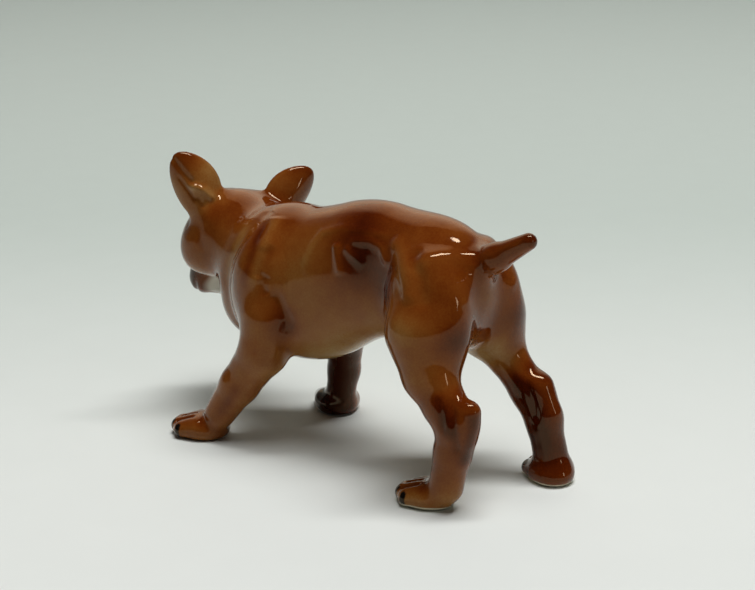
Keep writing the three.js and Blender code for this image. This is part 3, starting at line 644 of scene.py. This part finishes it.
class Clay:
    """The dog's whole skin, scored along the seats of its castings, so that neighbours share the same edge."""

    def __init__(self, pitch):
        self.points, self.quads = skin(dog, *np.array(SPACE), pitch)
        self.finish_points()
        self.triangles = np.zeros((0, 3), int)
        self.quad_casting = np.zeros(len(self.quads), int)
        self.triangle_casting = np.zeros(0, int)

    def finish_points(self):
        """Which way the skin faces, and how hollow or ridged it is a little way off and in."""
        self.normals = units(self.evened(units(slope_of(dog, self.points, SLOPE_STEP)), 1))
        self.hollow = self.evened(1 - dog(self.points + self.normals * FEELER) / FEELER, 4)
        self.ridge = self.evened(1 + dog(self.points - self.normals * FEELER) / FEELER, 4)

    def evened(self, values, rounds):
        """Values averaged with those of their neighbours on the skin."""
        corners = self.quads.ravel()
        count = np.bincount(corners)
        table = values.reshape(len(values), -1)
        for _ in range(rounds):
            on_face = np.repeat(table[self.quads].mean(1), 4, axis=0)
            table = np.stack([np.bincount(corners, column) / count for column in on_face.T], 1)
        return table.reshape(values.shape)

    def score(self, reach, casting, of):
        """Cuts the faces along the edge of a zone, where reach is zero, and hands those within it to a casting."""
        value = reach(self.points)
        value = np.where(np.abs(value) < 1e-6, 1e-6, value)
        within = value > 0
        part = self.quad_casting == of
        split = part & (within[self.quads].any(1) & ~within[self.quads].all(1))
        self.quad_casting[part & within[self.quads].all(1)] = casting
        ring = self.quads[split]
        halves = np.concatenate((ring[:, (0, 1, 2)], ring[:, (0, 2, 3)]))
        self.quads, self.quad_casting = self.quads[~split], self.quad_casting[~split]
        self.triangles = np.concatenate((self.triangles, halves))
        self.triangle_casting = np.concatenate((self.triangle_casting, np.full(len(halves), of)))
        part = self.triangle_casting == of
        inside = within[self.triangles]
        self.triangle_casting[part & inside.all(1)] = casting
        split = part & inside.any(1) & ~inside.all(1)
        faces, inside = self.triangles[split], inside[split]
        lone_within = inside.sum(1) == 1
        lone = np.where(lone_within, inside.argmax(1), inside.argmin(1))
        a, b, c = (faces[np.arange(len(faces)), (lone + k) % 3] for k in range(3))
        edges = np.sort(np.concatenate((np.stack((a, b), 1), np.stack((a, c), 1))), 1)
        unique, at = np.unique(edges, axis=0, return_inverse=True)
        at = at.reshape(-1)
        share = value[unique[:, 0]] / (value[unique[:, 0]] - value[unique[:, 1]])
        first = len(self.points)
        for name in ("points", "normals", "hollow", "ridge"):
            held = getattr(self, name)
            k = share if held.ndim == 1 else share[:, None]
            setattr(self, name, np.concatenate((held, held[unique[:, 0]] * (1 - k) + held[unique[:, 1]] * k)))
        ab, ac = first + at[: len(a)], first + at[len(a):]
        made = np.concatenate((np.stack((a, ab, ac), 1), np.stack((ab, b, c), 1), np.stack((ab, c, ac), 1)))
        lone_casting, rest_casting = np.where(lone_within, casting, of), np.where(lone_within, of, casting)
        self.triangles = np.concatenate((self.triangles[~split], made))
        self.triangle_casting = np.concatenate(
            (self.triangle_casting[~split], lone_casting, rest_casting, rest_casting)
        )


CASTINGS = ("trunk", "head", "tail", "left_ear", "right_ear", *LEGS)
# a seat's reach from its middle, mm: across the whole neck or shoulder, and a share of the tail's root
SEAT_REACH = 55
TAIL_SEAT_REACH = 2.2


def plane(seat, side):
    """A seat's place and the way it faces, on the left or on the right."""
    return np.array(seat[0]) * (side, 1, 1), unit(np.array(seat[1]) * (side, 1, 1))


def ear_seat(side):
    mirror = np.array((side, 1, 1))
    up = ear_axes(side)[0]
    at = (EAR_ROOT + up * EAR_SEAT_HEIGHT) * mirror
    return HEAD_AXES @ at + HEAD, HEAD_AXES @ (up * mirror)


def tail_seat():
    root = np.array(TAIL[0][:3], float)
    facing = unit(TAIL[1][:3] - root)
    return root + TAIL_SEAT_HEIGHT * facing, facing


def seats():
    """Each casting's seat, and the radius that it reaches over from there."""
    return {
        "head": (*plane(NECK_SEAT, 1), SEAT_REACH),
        "tail": (*tail_seat(), TAIL_SEAT_REACH * TAIL[1][3]),
        "left_ear": (*ear_seat(1), EAR_WIDTH),
        "right_ear": (*ear_seat(-1), EAR_WIDTH),
        **{name: (*plane(plan["seat"], plan["side"]), SEAT_REACH) for name, plan in LEGS.items()},
    }


def zone_of(name):
    at, facing, radius = seats()[name]

    def reach(points):
        off = points - at
        along = off @ facing
        value = np.minimum(along, radius - lengths(off - along[:, None] * facing))
        if name in LEGS:
            plan = LEGS[name]
            before = points[:, 1] - WAIST_Y if at[1] > WAIST_Y else WAIST_Y - points[:, 1]
            value = np.minimum(value, np.minimum(points[:, 0] * plan["side"] - plan["inner"], before))
        return value

    return reach


clay_in_hand = {}


def clay():
    """The scored skin, made once for the sizes that are set."""
    sizes = bpy.context.scene.dog_sizes
    key = tuple(round(getattr(sizes, name), 4) for name in sizes.__annotations__)
    if key not in clay_in_hand:
        made = Clay(sizes.pitch)
        for name in CASTINGS[1:]:
            parent = CASTINGS.index("head") if name.endswith("ear") else 0
            made.score(zone_of(name), CASTINGS.index(name), parent)
        clay_in_hand.clear()
        clay_in_hand[key] = made
    return clay_in_hand[key]


def origin():
    """From the modelling axes to the frame's, by the record's rest point under the left front paw."""
    mount = next(m for m in frame["record"]["mounts"] if m["name"] == "front_left_paw_base")
    paw_place = LEGS["front_left_leg"]["paw"]
    return np.array((mount["pos_m"][0] * 1000 - paw_place[0], mount["pos_m"][1] * 1000 - paw_place[1], 0))


def open_edges(faces):
    """Loops of edges that only one face has, in the order that a cap's own edges run."""
    edges = np.concatenate([np.stack((f, np.roll(f, -1, 1)), 2).reshape(-1, 2) for f in faces if len(f)])
    key = edges[:, 0].astype(np.int64) << 32 | edges[:, 1]
    back = edges[:, 1].astype(np.int64) << 32 | edges[:, 0]
    lone = edges[~np.isin(back, key)]
    follow = {int(b): int(a) for a, b in lone}
    loops = []
    while follow:
        start = next(iter(follow))
        loop, at = [start], follow.pop(start)
        while at != start:
            loop.append(at)
            at = follow.pop(at)
        loops.append(loop)
    return loops


def brown_and_painted_light_on(points, normals, hollow, ridge):
    """How dense the sprayed brown lies, with painted shade and painted light added in places: 0 bare, 0.5 golden
    brown, 1 nearly black-brown.
    """
    mirror, local = mirrored(points, 0), in_head(points)
    inwards = -normals[:, 0] * np.sign(points[:, 0])
    measures = np.column_stack((points, normals, inwards))
    density = np.full(len(points), SPRAY)
    for amount, bounds in ZONE_SPRAY_AND_PAINTED_SHADE:
        share = 1
        for measure, start, full in bounds:
            share = share * smooth_step(measures[:, measure], start, full)
        density += amount * share
    for middle, radius, amount in BODY_SPRAY_AND_PAINTED_LIGHT:
        density += amount * patch(mirror, middle, radius)
    # the neck's stripes are painted light and shade along its folds
    for on, streaks in ((points, SHIN_STREAKS), (mirror, NECK_PAINTED_LIGHT_AND_SHADE)):
        for width, amount, line in streaks:
            off, run = line_run(on, line)
            density += amount * fading(run, -0.05, 0.2) * np.exp(-((off / width) ** 2))
    # the head, up to where the neck starts: its mask and its ears
    neck = NECK_SEAT[0][1]
    on_head = smooth_step(lengths(local), 26, 20) * smooth_step(points[:, 1], neck + 2, neck - 4)
    middle, radii, amount = MASK
    density += amount * on_head * smooth_step(patch(mirrored(local, 0), middle, radii), 0.25, 0.8)
    both, apart, in_bowl = EAR_SPRAY
    for which in (1, -1):
        rise, side, _ = in_ear(local * (which, 1, 1), which)
        facing = (normals @ HEAD_AXES * (which, 1, 1)) @ ear_axes(which)[2]
        bowl = smooth_step(facing, -0.1, -0.6) * smooth_step(np.abs(rise), 1, 0.7)
        on_ear = smooth_step(np.abs(side), 8, 5) * smooth_step(rise, -1, -0.6) * on_head
        density -= (both + apart * which + in_bowl * bowl) * on_ear
    # colour gathers in the hollows and breaks pale over the ridges
    density += HOLLOW_SPRAY * np.clip(hollow, -0.1, 0.6) - RIDGE_SPRAY * np.clip(ridge, 0, 0.8)
    return np.clip(density, 0, 1.2)


def bare_throat(points, normals):
    """The white underside of the jaw and the chest, left free of the spray."""
    jaw = lengths((mirrored(in_head(points), 0) - BARE_JAW[0]) / BARE_JAW[1])
    chest = lengths((points - BARE_CHEST[0]) / BARE_CHEST[1])
    return smooth_step(np.minimum(jaw, chest), 1.2, 0.75) * smooth_step(normals[:, 2], 0.45, 0)


def brush_on(points):
    """Black brush strokes: the nails, the eyes and the nose."""
    black = np.zeros(len(points))
    for plan in LEGS.values():
        local = in_paw(mirrored(points, plan["side"]), plan["paw"])
        for number, (_, end) in enumerate(toes_of(plan["paw"][3])):
            turn = math.copysign(NAIL_TURNS[number in (0, 3)], end[0])
            way = end[3] * np.array((math.sin(turn), -math.cos(turn), 0))
            stroke = [end[:3] + way * out + (0, 0, end[3] * rise) for out, rise in NAIL_STROKE]
            black = np.maximum(black, smooth_step(line_run(local, stroke)[0], *NAIL_EDGE))
    local = mirrored(in_head(points), 0)
    black = np.maximum(black, smooth_step(eyeball(local), 0.3, 0.1))
    return np.maximum(black, smooth_step(egg(local, NOSE), 0.6, 0.25))


# a sole lies lower than this, mm, and faces down more than this
SOLE = (0.12, -0.75)
# heights between which a rim is wiped, mm, and how thoroughly on the right and on the left
RIM = (1.5, 0.8)
RIM_SHARES = (0.75, 1)


def put(name, data):
    """A new object in the scene."""
    made = bpy.data.objects.new(name, data)
    bpy.context.scene.collection.objects.link(made)
    return made


def casting(name, material, bisque):
    """One casting as a closed mesh, facing as the shared skin does, on the frame in place of its node."""
    whole = clay()
    index = CASTINGS.index(name)
    quads = whole.quads[whole.quad_casting == index]
    triangles = whole.triangles[whole.triangle_casting == index]
    used, at = np.unique(np.concatenate((quads.ravel(), triangles.ravel())), return_inverse=True)
    at = at.reshape(-1)
    quads, triangles = at[: quads.size].reshape(-1, 4), at[quads.size:].reshape(-1, 3)
    points, normals = whole.points[used], whole.normals[used]
    caps, cap_normals = [], []
    for loop in open_edges((quads, triangles)):
        ring = points[loop]
        middle = ring.mean(0)
        facing = unit(np.cross(ring - middle, np.roll(ring, -1, 0) - middle).sum(0))
        filled = np.array(loop)[np.array(tessellate_polygon([[Vector(p) for p in ring]]))]
        a, b, c = (points[filled[:, k]] for k in range(3))
        turned = np.cross(b - a, c - a) @ facing < 0
        filled[turned] = filled[turned][:, ::-1]
        caps.append(filled)
        cap_normals.append(np.tile(facing, (len(filled) * 3, 1)))
    cap = np.concatenate(caps) if caps else np.zeros((0, 3), int)
    corners = np.concatenate((quads.ravel(), triangles.ravel(), cap.ravel()))
    sizes = np.concatenate((np.full(len(quads), 4), np.full(len(triangles) + len(cap), 3)))
    mesh = bpy.data.meshes.new(name + "_glazed")
    mesh.vertices.add(len(points))
    mesh.loops.add(len(corners))
    mesh.polygons.add(len(sizes))
    mesh.vertices.foreach_set("co", ((points + origin()) / 1000).astype(np.float32).ravel())
    mesh.loops.foreach_set("vertex_index", corners.astype(np.int32))
    mesh.polygons.foreach_set("loop_start", (np.cumsum(sizes) - sizes).astype(np.int32))
    # soles that touch the shelf and the seats of the other castings stay unglazed
    first = np.concatenate((quads[:, 0], triangles[:, 0]))
    sole = (points[first][:, 2] < SOLE[0]) & (normals[first][:, 2] < SOLE[1])
    mesh.polygons.foreach_set("material_index", np.concatenate((sole, np.ones(len(cap)))).astype(np.int32))
    mesh.polygons.foreach_set("use_smooth", np.ones(len(sizes), bool))
    mesh.update(calc_edges=True)
    on_skin = corners[: len(corners) - cap.size]
    mesh.normals_split_custom_set(np.concatenate((normals[on_skin], *cap_normals)))
    # the wiped rims show on the hind paws, plainly on the left one and fainter on the right
    rims = (points[:, 1] > WAIST_Y) * np.interp(points[:, 0], (-5, 5), RIM_SHARES)
    paints = {
        # this paint holds the sprayed brown with painted shade and painted light added in places
        "spray": brown_and_painted_light_on(points, normals, whole.hollow[used], whole.ridge[used]),
        "brush": brush_on(points),
        "bare": bare_throat(points, normals),
        "foot": rims * smooth_step(points[:, 2], *RIM),
    }
    for paint, amounts in paints.items():
        held = mesh.attributes.new(paint, "FLOAT", "POINT")
        held.data.foreach_set("value", amounts.astype(np.float32))
    mesh.materials.append(material)
    mesh.materials.append(bisque)
    piece = put(name + "_glazed", mesh)
    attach(piece, "root")
    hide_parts(name)
    return piece


def linear(code):
    """An sRGB hex colour as linear RGBA."""
    parts = [int(code[i : i + 2], 16) / 255 for i in (1, 3, 5)]
    return (*(p / 12.92 if p <= 0.04045 else ((p + 0.055) / 1.055) ** 2.4 for p in parts), 1)


def node(tree, kind, links=(), **settings):
    """Adds a node, sets it and fills its inputs, each with a value, a node or (node, output)."""
    made = tree.nodes.new("ShaderNode" + kind)
    for name, value in settings.items():
        setattr(made, name, value)
    for name, value in dict(links).items():
        value = (value, 0) if isinstance(value, bpy.types.Node) else value
        if isinstance(value, tuple) and isinstance(value[0], bpy.types.Node):
            tree.links.new(value[0].outputs[value[1]], made.inputs[name])
        else:
            made.inputs[name].default_value = value
    return made


def new_material(name):
    material = bpy.data.materials.new(name)
    material.use_nodes = True
    material.node_tree.nodes.clear()
    return material, material.node_tree


def shared(name, make):
    """The material of this name, made at its first use."""
    return bpy.data.materials.get(name) or make(name)


def glazed_earthenware(name):
    """Buff earthenware with sprayed brown underglaze, brushed black and a clear gloss glaze.
    The eye sees crisp mirror-like highlights over soft clouds of brown that gather in the hollows."""
    colours = bpy.context.scene.dog_glazes
    material, tree = new_material(name)
    place = (node(tree, "TexCoord"), "Object")
    # the first paint is the sprayed brown with painted shade and painted light added in places
    spray, brush, bare, foot = (
        (node(tree, "Attribute", attribute_name=paint), "Fac")
        for paint in ("spray", "brush", "bare", "foot")
    )
    # airbrush clouds about 9 mm across, and droplets of 0.5 mm, drawn as coarse as they show
    clouds = node(tree, "TexNoise", {"Vector": place, "Scale": 110, "Detail": 3, "Roughness": 0.6})
    drops = node(tree, "TexNoise", {"Vector": place, "Scale": 2100, "Detail": 1})
    cloud = node(tree, "Math", {0: clouds, 1: 0.5}, operation="SUBTRACT")
    cloud = node(tree, "Math", {0: cloud, 1: 0.3, 2: spray}, operation="MULTIPLY_ADD")
    drop = node(tree, "Math", {0: drops, 1: 0.5}, operation="SUBTRACT")
    density = node(tree, "Math", {0: drop, 1: 0.13, 2: cloud}, operation="MULTIPLY_ADD")
    ramp = node(tree, "ValToRGB", {"Fac": density})
    stops = ramp.color_ramp
    stops.interpolation = "B_SPLINE"
    tones = (
        (0, colours.cream), (0.28, colours.pale_brown), (0.5, colours.golden_brown),
        (0.74, colours.chestnut), (1, colours.dark_brown),
    )
    while len(stops.elements) < len(tones):
        stops.elements.new(0.5)
    for element, (at, tone) in zip(stops.elements, tones):
        element.position = at
        element.color = (*tone, 1)
    colour = node(tree, "Mix", {0: bare, 6: ramp, 7: (*colours.white, 1)}, data_type="RGBA")
    colour = node(tree, "Mix", {0: brush, 6: (colour, 2), 7: (*colours.black, 1)}, data_type="RGBA")
    # the foot rims are wiped clean of glaze before firing
    ragged = node(tree, "Math", {0: clouds, 1: 0.5, 2: foot}, operation="MULTIPLY_ADD")
    wiped = node(tree, "MapRange", {"Value": ragged, "From Min": 0.7, "From Max": 1})
    colour = node(tree, "Mix", {0: wiped, 6: (colour, 2), 7: (*colours.biscuit, 1)}, data_type="RGBA")
    rough = node(tree, "MapRange", {"Value": wiped, "To Min": colours.gloss, "To Max": 0.6})
    # the glaze lies in slow waves of 5 mm and fine ones of 1.2 mm, a few hundredths of a millimetre high
    waves = node(tree, "TexNoise", {"Vector": place, "Scale": 200, "Detail": 3.5, "Roughness": 0.5})
    rise = node(tree, "Bump", {"Height": waves, "Strength": 0.12, "Distance": 0.0006})
    shader = node(tree, "BsdfPrincipled", {
        "Base Color": (colour, 2), "Roughness": rough, "IOR": 1.45, "Normal": rise,
        "Specular Tint": (*colours.shine, 1),
    })
    node(tree, "OutputMaterial", {"Surface": shader})
    return material


def biscuit_clay(name):
    """Bare fired earthenware on the soles and seats: matt, pale and faintly gritty."""
    colours = bpy.context.scene.dog_glazes
    material, tree = new_material(name)
    place = (node(tree, "TexCoord"), "Object")
    # grit of 0.4 mm
    grit = node(tree, "TexNoise", {"Vector": place, "Scale": 2400, "Detail": 2})
    worn = (*(c * 0.8 for c in colours.biscuit), 1)
    tone = node(tree, "Mix", {0: grit, 6: (*colours.biscuit, 1), 7: worn}, data_type="RGBA")
    rise = node(tree, "Bump", {"Height": grit, "Strength": 0.3, "Distance": 0.0001})
    shader = node(tree, "BsdfPrincipled", {
        "Base Color": (tone, 2), "Roughness": 0.85, "IOR": 1.5, "Normal": rise,
    })
    node(tree, "OutputMaterial", {"Surface": shader})
    return material


def white_card(away, across):
    """Matt card that runs from the floor up into the backdrop, darker and greener away from the dog; the darkening is
    painted shade of the light falling off.
    It has a faint tooth, and the dog's glaze mirrors the backdrop as a bright wall."""
    stage = bpy.context.scene.dog_stage
    material, tree = new_material("white card")
    place = (node(tree, "TexCoord"), "Object")
    # tooth of 15 mm clouds; the tone turns darker from just before the dog to 0.28 m behind it, as painted shade of
    # the light falling off
    tooth = node(tree, "TexNoise", {"Vector": place, "Scale": 60, "Detail": 4})
    behind = node(tree, "VectorMath", {0: place, 1: (*away, 0)}, operation="DOT_PRODUCT")
    far = {"Value": (behind, "Value"), "From Min": -0.07, "From Max": 0.28}
    far = node(tree, "MapRange", far, interpolation_type="SMOOTHSTEP")
    tone = node(tree, "Mix", {0: far, 6: (*stage.floor, 1), 7: (*stage.backdrop, 1)}, data_type="RGBA")
    faint = node(tree, "Math", {0: tooth, 1: 0.03}, operation="MULTIPLY")
    shade = node(tree, "Mix", {0: faint, 6: (tone, 2), 7: (0, 0, 0, 1)}, data_type="RGBA")
    # only what looks at the wall sees it glow, from 0.1 m up and to 1.5 m aside: it sheds no light
    height = node(tree, "SeparateXYZ", {0: place})
    wall = node(tree, "MapRange", {
        "Value": (height, "Z"), "From Min": 0.1, "From Max": 0.8, "To Max": stage.wall_glow,
    })
    aside = node(tree, "VectorMath", {0: place, 1: (*across, 0)}, operation="DOT_PRODUCT")
    aside = node(tree, "Math", {0: (aside, "Value")}, operation="ABSOLUTE")
    aside = node(tree, "MapRange", {"Value": aside, "From Min": 1.5, "From Max": 0.8})
    wall = node(tree, "Math", {0: wall, 1: aside}, operation="MULTIPLY")
    ray = node(tree, "LightPath")
    seen = node(tree, "Math", {0: (ray, "Is Camera Ray"), 1: (ray, "Is Glossy Ray")})
    seen = node(tree, "Math", {0: seen, 1: (ray, "Is Transmission Ray")}, use_clamp=True)
    glow = node(tree, "Math", {0: seen, 1: wall}, operation="MULTIPLY")
    shader = node(tree, "BsdfPrincipled", {
        "Base Color": (shade, 2), "Roughness": 0.65, "IOR": 1.4,
        "Emission Color": (*stage.glow, 1), "Emission Strength": glow,
    })
    node(tree, "OutputMaterial", {"Surface": shader})
    return material


def colour_of(name, description, code):
    return FloatVectorProperty(
        name=name, description=description, default=linear(code)[:3], min=0, max=1, size=3, subtype="COLOR"
    )


def amount_of(name, description, default, low, high, subtype="NONE"):
    return FloatProperty(
        name=name, description=description, default=default, min=low, max=high, subtype=subtype
    )


def power_of(name, description, default):
    return FloatProperty(name=name, description=description, default=default, min=0)


class DogSizes(bpy.types.PropertyGroup):
    pitch: amount_of("Skin pitch", "Fineness of the modelled skin, mm", 0.4, 0.25, 2)
    folds: amount_of("Folds", "Share of the modelled depth of folds", 1, 0, 2, "FACTOR")
    flank_hollow: amount_of("Flank hollow", "Depth behind the last rib, mm", 1.5, 0, 3)
    ear_hollow: amount_of("Ear hollow", "Depth of the ear's bowl, mm", 1.1, 0, 1.6)
    toe_cleft: amount_of("Toe cleft", "Depth between the toes, mm", 0.5, 0, 1.2)
    eye: amount_of("Eye", "Diameter of the eyeball, mm", 4.2, 3, 5)
    vent: amount_of("Air hole", "Diameter of the hole under the belly, mm", 3.4, 2, 5)


class DogGlazes(bpy.types.PropertyGroup):
    cream: colour_of("Cream", "Thinnest spray, on the belly", "#b59f74")
    pale_brown: colour_of("Pale brown", "Thin spray", "#8f6834")
    golden_brown: colour_of("Golden brown", "Spray on the sides", "#7e4211")
    chestnut: colour_of("Chestnut", "Dense spray on the back", "#591d02")
    dark_brown: colour_of("Dark brown", "Densest spray", "#280500")
    white: colour_of("White", "Throat", "#c0baac")
    black: colour_of("Black", "Brushed nails, eyes and nose", "#0c0a09")
    biscuit: colour_of("Biscuit", "Bare fired clay", "#d8cfb4")
    shine: colour_of("Shine", "Warm tint of the glaze's reflections", "#ffdeb4")
    gloss: amount_of("Glaze roughness", "Roughness of the clear glaze", 0.045, 0, 0.5, "FACTOR")


class DogStage(bpy.types.PropertyGroup):
    floor: colour_of("Floor", "Pale floor", "#dde0dc")
    # darker and greener than the floor: the darkening is painted shade of the light falling off behind the dog
    backdrop: colour_of("Backdrop", "Card behind the dog", "#bcc5bf")
    wall_glow: amount_of("Wall glow", "How bright the glaze mirrors the wall", 0.9, 0, 1)
    glow: colour_of("Glow", "Tint of the wall in the glaze", "#ffd9ae")
    room: amount_of("Room", "Grey level of the room around", 0.035, 0, 1)
    overhead: power_of("Overhead lamp", "Power of the long lamp overhead, W", 26)
    soft: power_of("Soft light", "Power of the large soft light, W", 30)
    window: power_of("Window", "Power of the small far window, W", 1.3)
    lens: amount_of("Lens", "Focal length, mm", 74.1, 20, 200)


class FigurineOperator:
    """Makes castings in place of their CAD nodes."""

    bl_options = {"REGISTER", "UNDO"}
    castings = ()

    def execute(self, context):
        glaze = shared("glazed earthenware", glazed_earthenware)
        biscuit = shared("biscuit earthenware", biscuit_clay)
        for name in self.castings:
            casting(name, glaze, biscuit)
        return {"FINISHED"}


class FIGURINE_OT_trunk(FigurineOperator, bpy.types.Operator):
    """Cast and glaze the trunk, from the shoulders to the rump"""

    bl_idname = "figurine.trunk"
    bl_label = "Trunk"
    castings = ("trunk",)


class FIGURINE_OT_head(FigurineOperator, bpy.types.Operator):
    """Cast and glaze the head with its face"""

    bl_idname = "figurine.head"
    bl_label = "Head"
    castings = ("head",)


class FIGURINE_OT_ears(FigurineOperator, bpy.types.Operator):
    """Cast and glaze the two ears"""

    bl_idname = "figurine.ears"
    bl_label = "Ears"
    castings = ("left_ear", "right_ear")


class FIGURINE_OT_tail(FigurineOperator, bpy.types.Operator):
    """Cast and glaze the tail"""

    bl_idname = "figurine.tail"
    bl_label = "Tail"
    castings = ("tail",)


class FIGURINE_OT_legs(FigurineOperator, bpy.types.Operator):
    """Cast and glaze the four legs"""

    bl_idname = "figurine.legs"
    bl_label = "Legs"
    castings = tuple(LEGS)


# from the dog towards the camera, and the camera's place in the modelling axes, m
TO_CAMERA = (0.73257, 0.6147, 0.29237)
CAMERA_PLACE = (0.2947, 0.2619, 0.1618)
# each lamp's place and its size, m, and whether the glaze mirrors it
LAMPS = {
    "overhead": ("overhead lamp", (-0.3, 0.24, 2.0), (0.32, 1.5), True),
    "soft": ("soft light", (0.25, 0.3, 2.6), (1.5, 1.5), False),
    "window": ("window", (-0.2, 1.9, 0.5), (0.16, 0.5), True),
}
LIT_PLACE = (0, 0, 0.03)
# the card, m: where it starts before the dog, the wall behind it, their bend, its height and half its width
SWEEP_START, SWEEP_WALL, SWEEP_BEND, SWEEP_HEIGHT, SWEEP_HALF = -2.6, 1.7, 0.5, 3.6, 3.0
FLOOR_STEPS = 12


def aim(holder, place, way):
    """Sets a lamp or the camera in its place and points it along a way."""
    holder.location = place
    holder.rotation_mode = "QUATERNION"
    holder.rotation_quaternion = way.to_track_quat("-Z", "Y")


class FIGURINE_OT_stage(bpy.types.Operator):
    """Set the pale floor and backdrop, the lamps, the room and the camera"""

    bl_idname = "figurine.stage"
    bl_label = "Stage"
    bl_options = {"REGISTER", "UNDO"}

    def execute(self, context):
        stage = context.scene.dog_stage
        back = Vector(TO_CAMERA)
        self.sweep(back)
        for power, (name, place, size, glossy) in LAMPS.items():
            light = bpy.data.lights.new(name, "AREA")
            light.shape = "ELLIPSE"
            light.size, light.size_y = size
            light.energy = getattr(stage, power)
            holder = put(name, light)
            holder.visible_glossy = glossy
            aim(holder, place, Vector(LIT_PLACE) - Vector(place))
        world = bpy.data.worlds.new("room")
        world.use_nodes = True
        world.node_tree.nodes["Background"].inputs[0].default_value = (stage.room,) * 3 + (1,)
        context.scene.world = world
        camera = bpy.data.cameras.new("camera")
        camera.lens = stage.lens
        camera.sensor_width = 36
        camera.clip_start, camera.clip_end = 0.01, 20
        holder = put("camera", camera)
        aim(holder, Vector(CAMERA_PLACE + origin() / 1000), -back)
        context.scene.camera = holder
        context.scene.view_settings.view_transform = "Standard"
        return {"FINISHED"}

    def sweep(self, back):
        """A floor that runs far to the front and sides, and a wall behind the dog, in one curve."""
        away = Vector((-back.x, -back.y)).normalized()
        across = Vector((-away.y, away.x))
        flat = SWEEP_WALL - SWEEP_BEND
        profile = [(SWEEP_START + (flat - SWEEP_START) * i / FLOOR_STEPS, 0) for i in range(FLOOR_STEPS)]
        for angle in map(math.radians, range(0, 91, 6)):
            profile.append((flat + SWEEP_BEND * math.sin(angle), SWEEP_BEND - SWEEP_BEND * math.cos(angle)))
        profile.append((SWEEP_WALL, SWEEP_HEIGHT))
        points = [
            (away.x * d + across.x * s, away.y * d + across.y * s, z)
            for d, z in profile for s in (-SWEEP_HALF, SWEEP_HALF)
        ]
        faces = [(2 * i + 1, 2 * i, 2 * i + 2, 2 * i + 3) for i in range(len(profile) - 1)]
        mesh = bpy.data.meshes.new("sweep")
        mesh.from_pydata(points, [], faces)
        mesh.polygons.foreach_set("use_smooth", [True] * len(faces))
        mesh.materials.append(white_card(away, across))
        floor = put("sweep", mesh)


OPERATORS = (
    FIGURINE_OT_trunk, FIGURINE_OT_head, FIGURINE_OT_ears, FIGURINE_OT_tail, FIGURINE_OT_legs,
    FIGURINE_OT_stage,
)
GROUPS = {"dog_sizes": DogSizes, "dog_glazes": DogGlazes, "dog_stage": DogStage}


class FIGURINE_PT_panel(bpy.types.Panel):
    """Sizes, glazes and castings of the figurine"""

    bl_idname = "FIGURINE_PT_panel"
    bl_label = "Glazed Dog Figurine"
    bl_space_type = "VIEW_3D"
    bl_region_type = "UI"
    bl_category = "Figurine"

    def draw(self, context):
        for name, group in GROUPS.items():
            box = self.layout.box()
            for setting in group.__annotations__:
                box.prop(getattr(context.scene, name), setting)
        for operator in OPERATORS:
            self.layout.operator(operator.bl_idname)


CLASSES = (*GROUPS.values(), *OPERATORS, FIGURINE_PT_panel)


def register():
    for made in CLASSES:
        bpy.utils.register_class(made)
    for name, group in GROUPS.items():
        setattr(bpy.types.Scene, name, PointerProperty(type=group))


def unregister():
    for name in GROUPS:
        delattr(bpy.types.Scene, name)
    for made in reversed(CLASSES):
        bpy.utils.unregister_class(made)


def main():
    register()
    for operator in OPERATORS:
        group, name = operator.bl_idname.split(".")
        getattr(getattr(bpy.ops, group), name)()


if __name__ == "__main__":
    main()
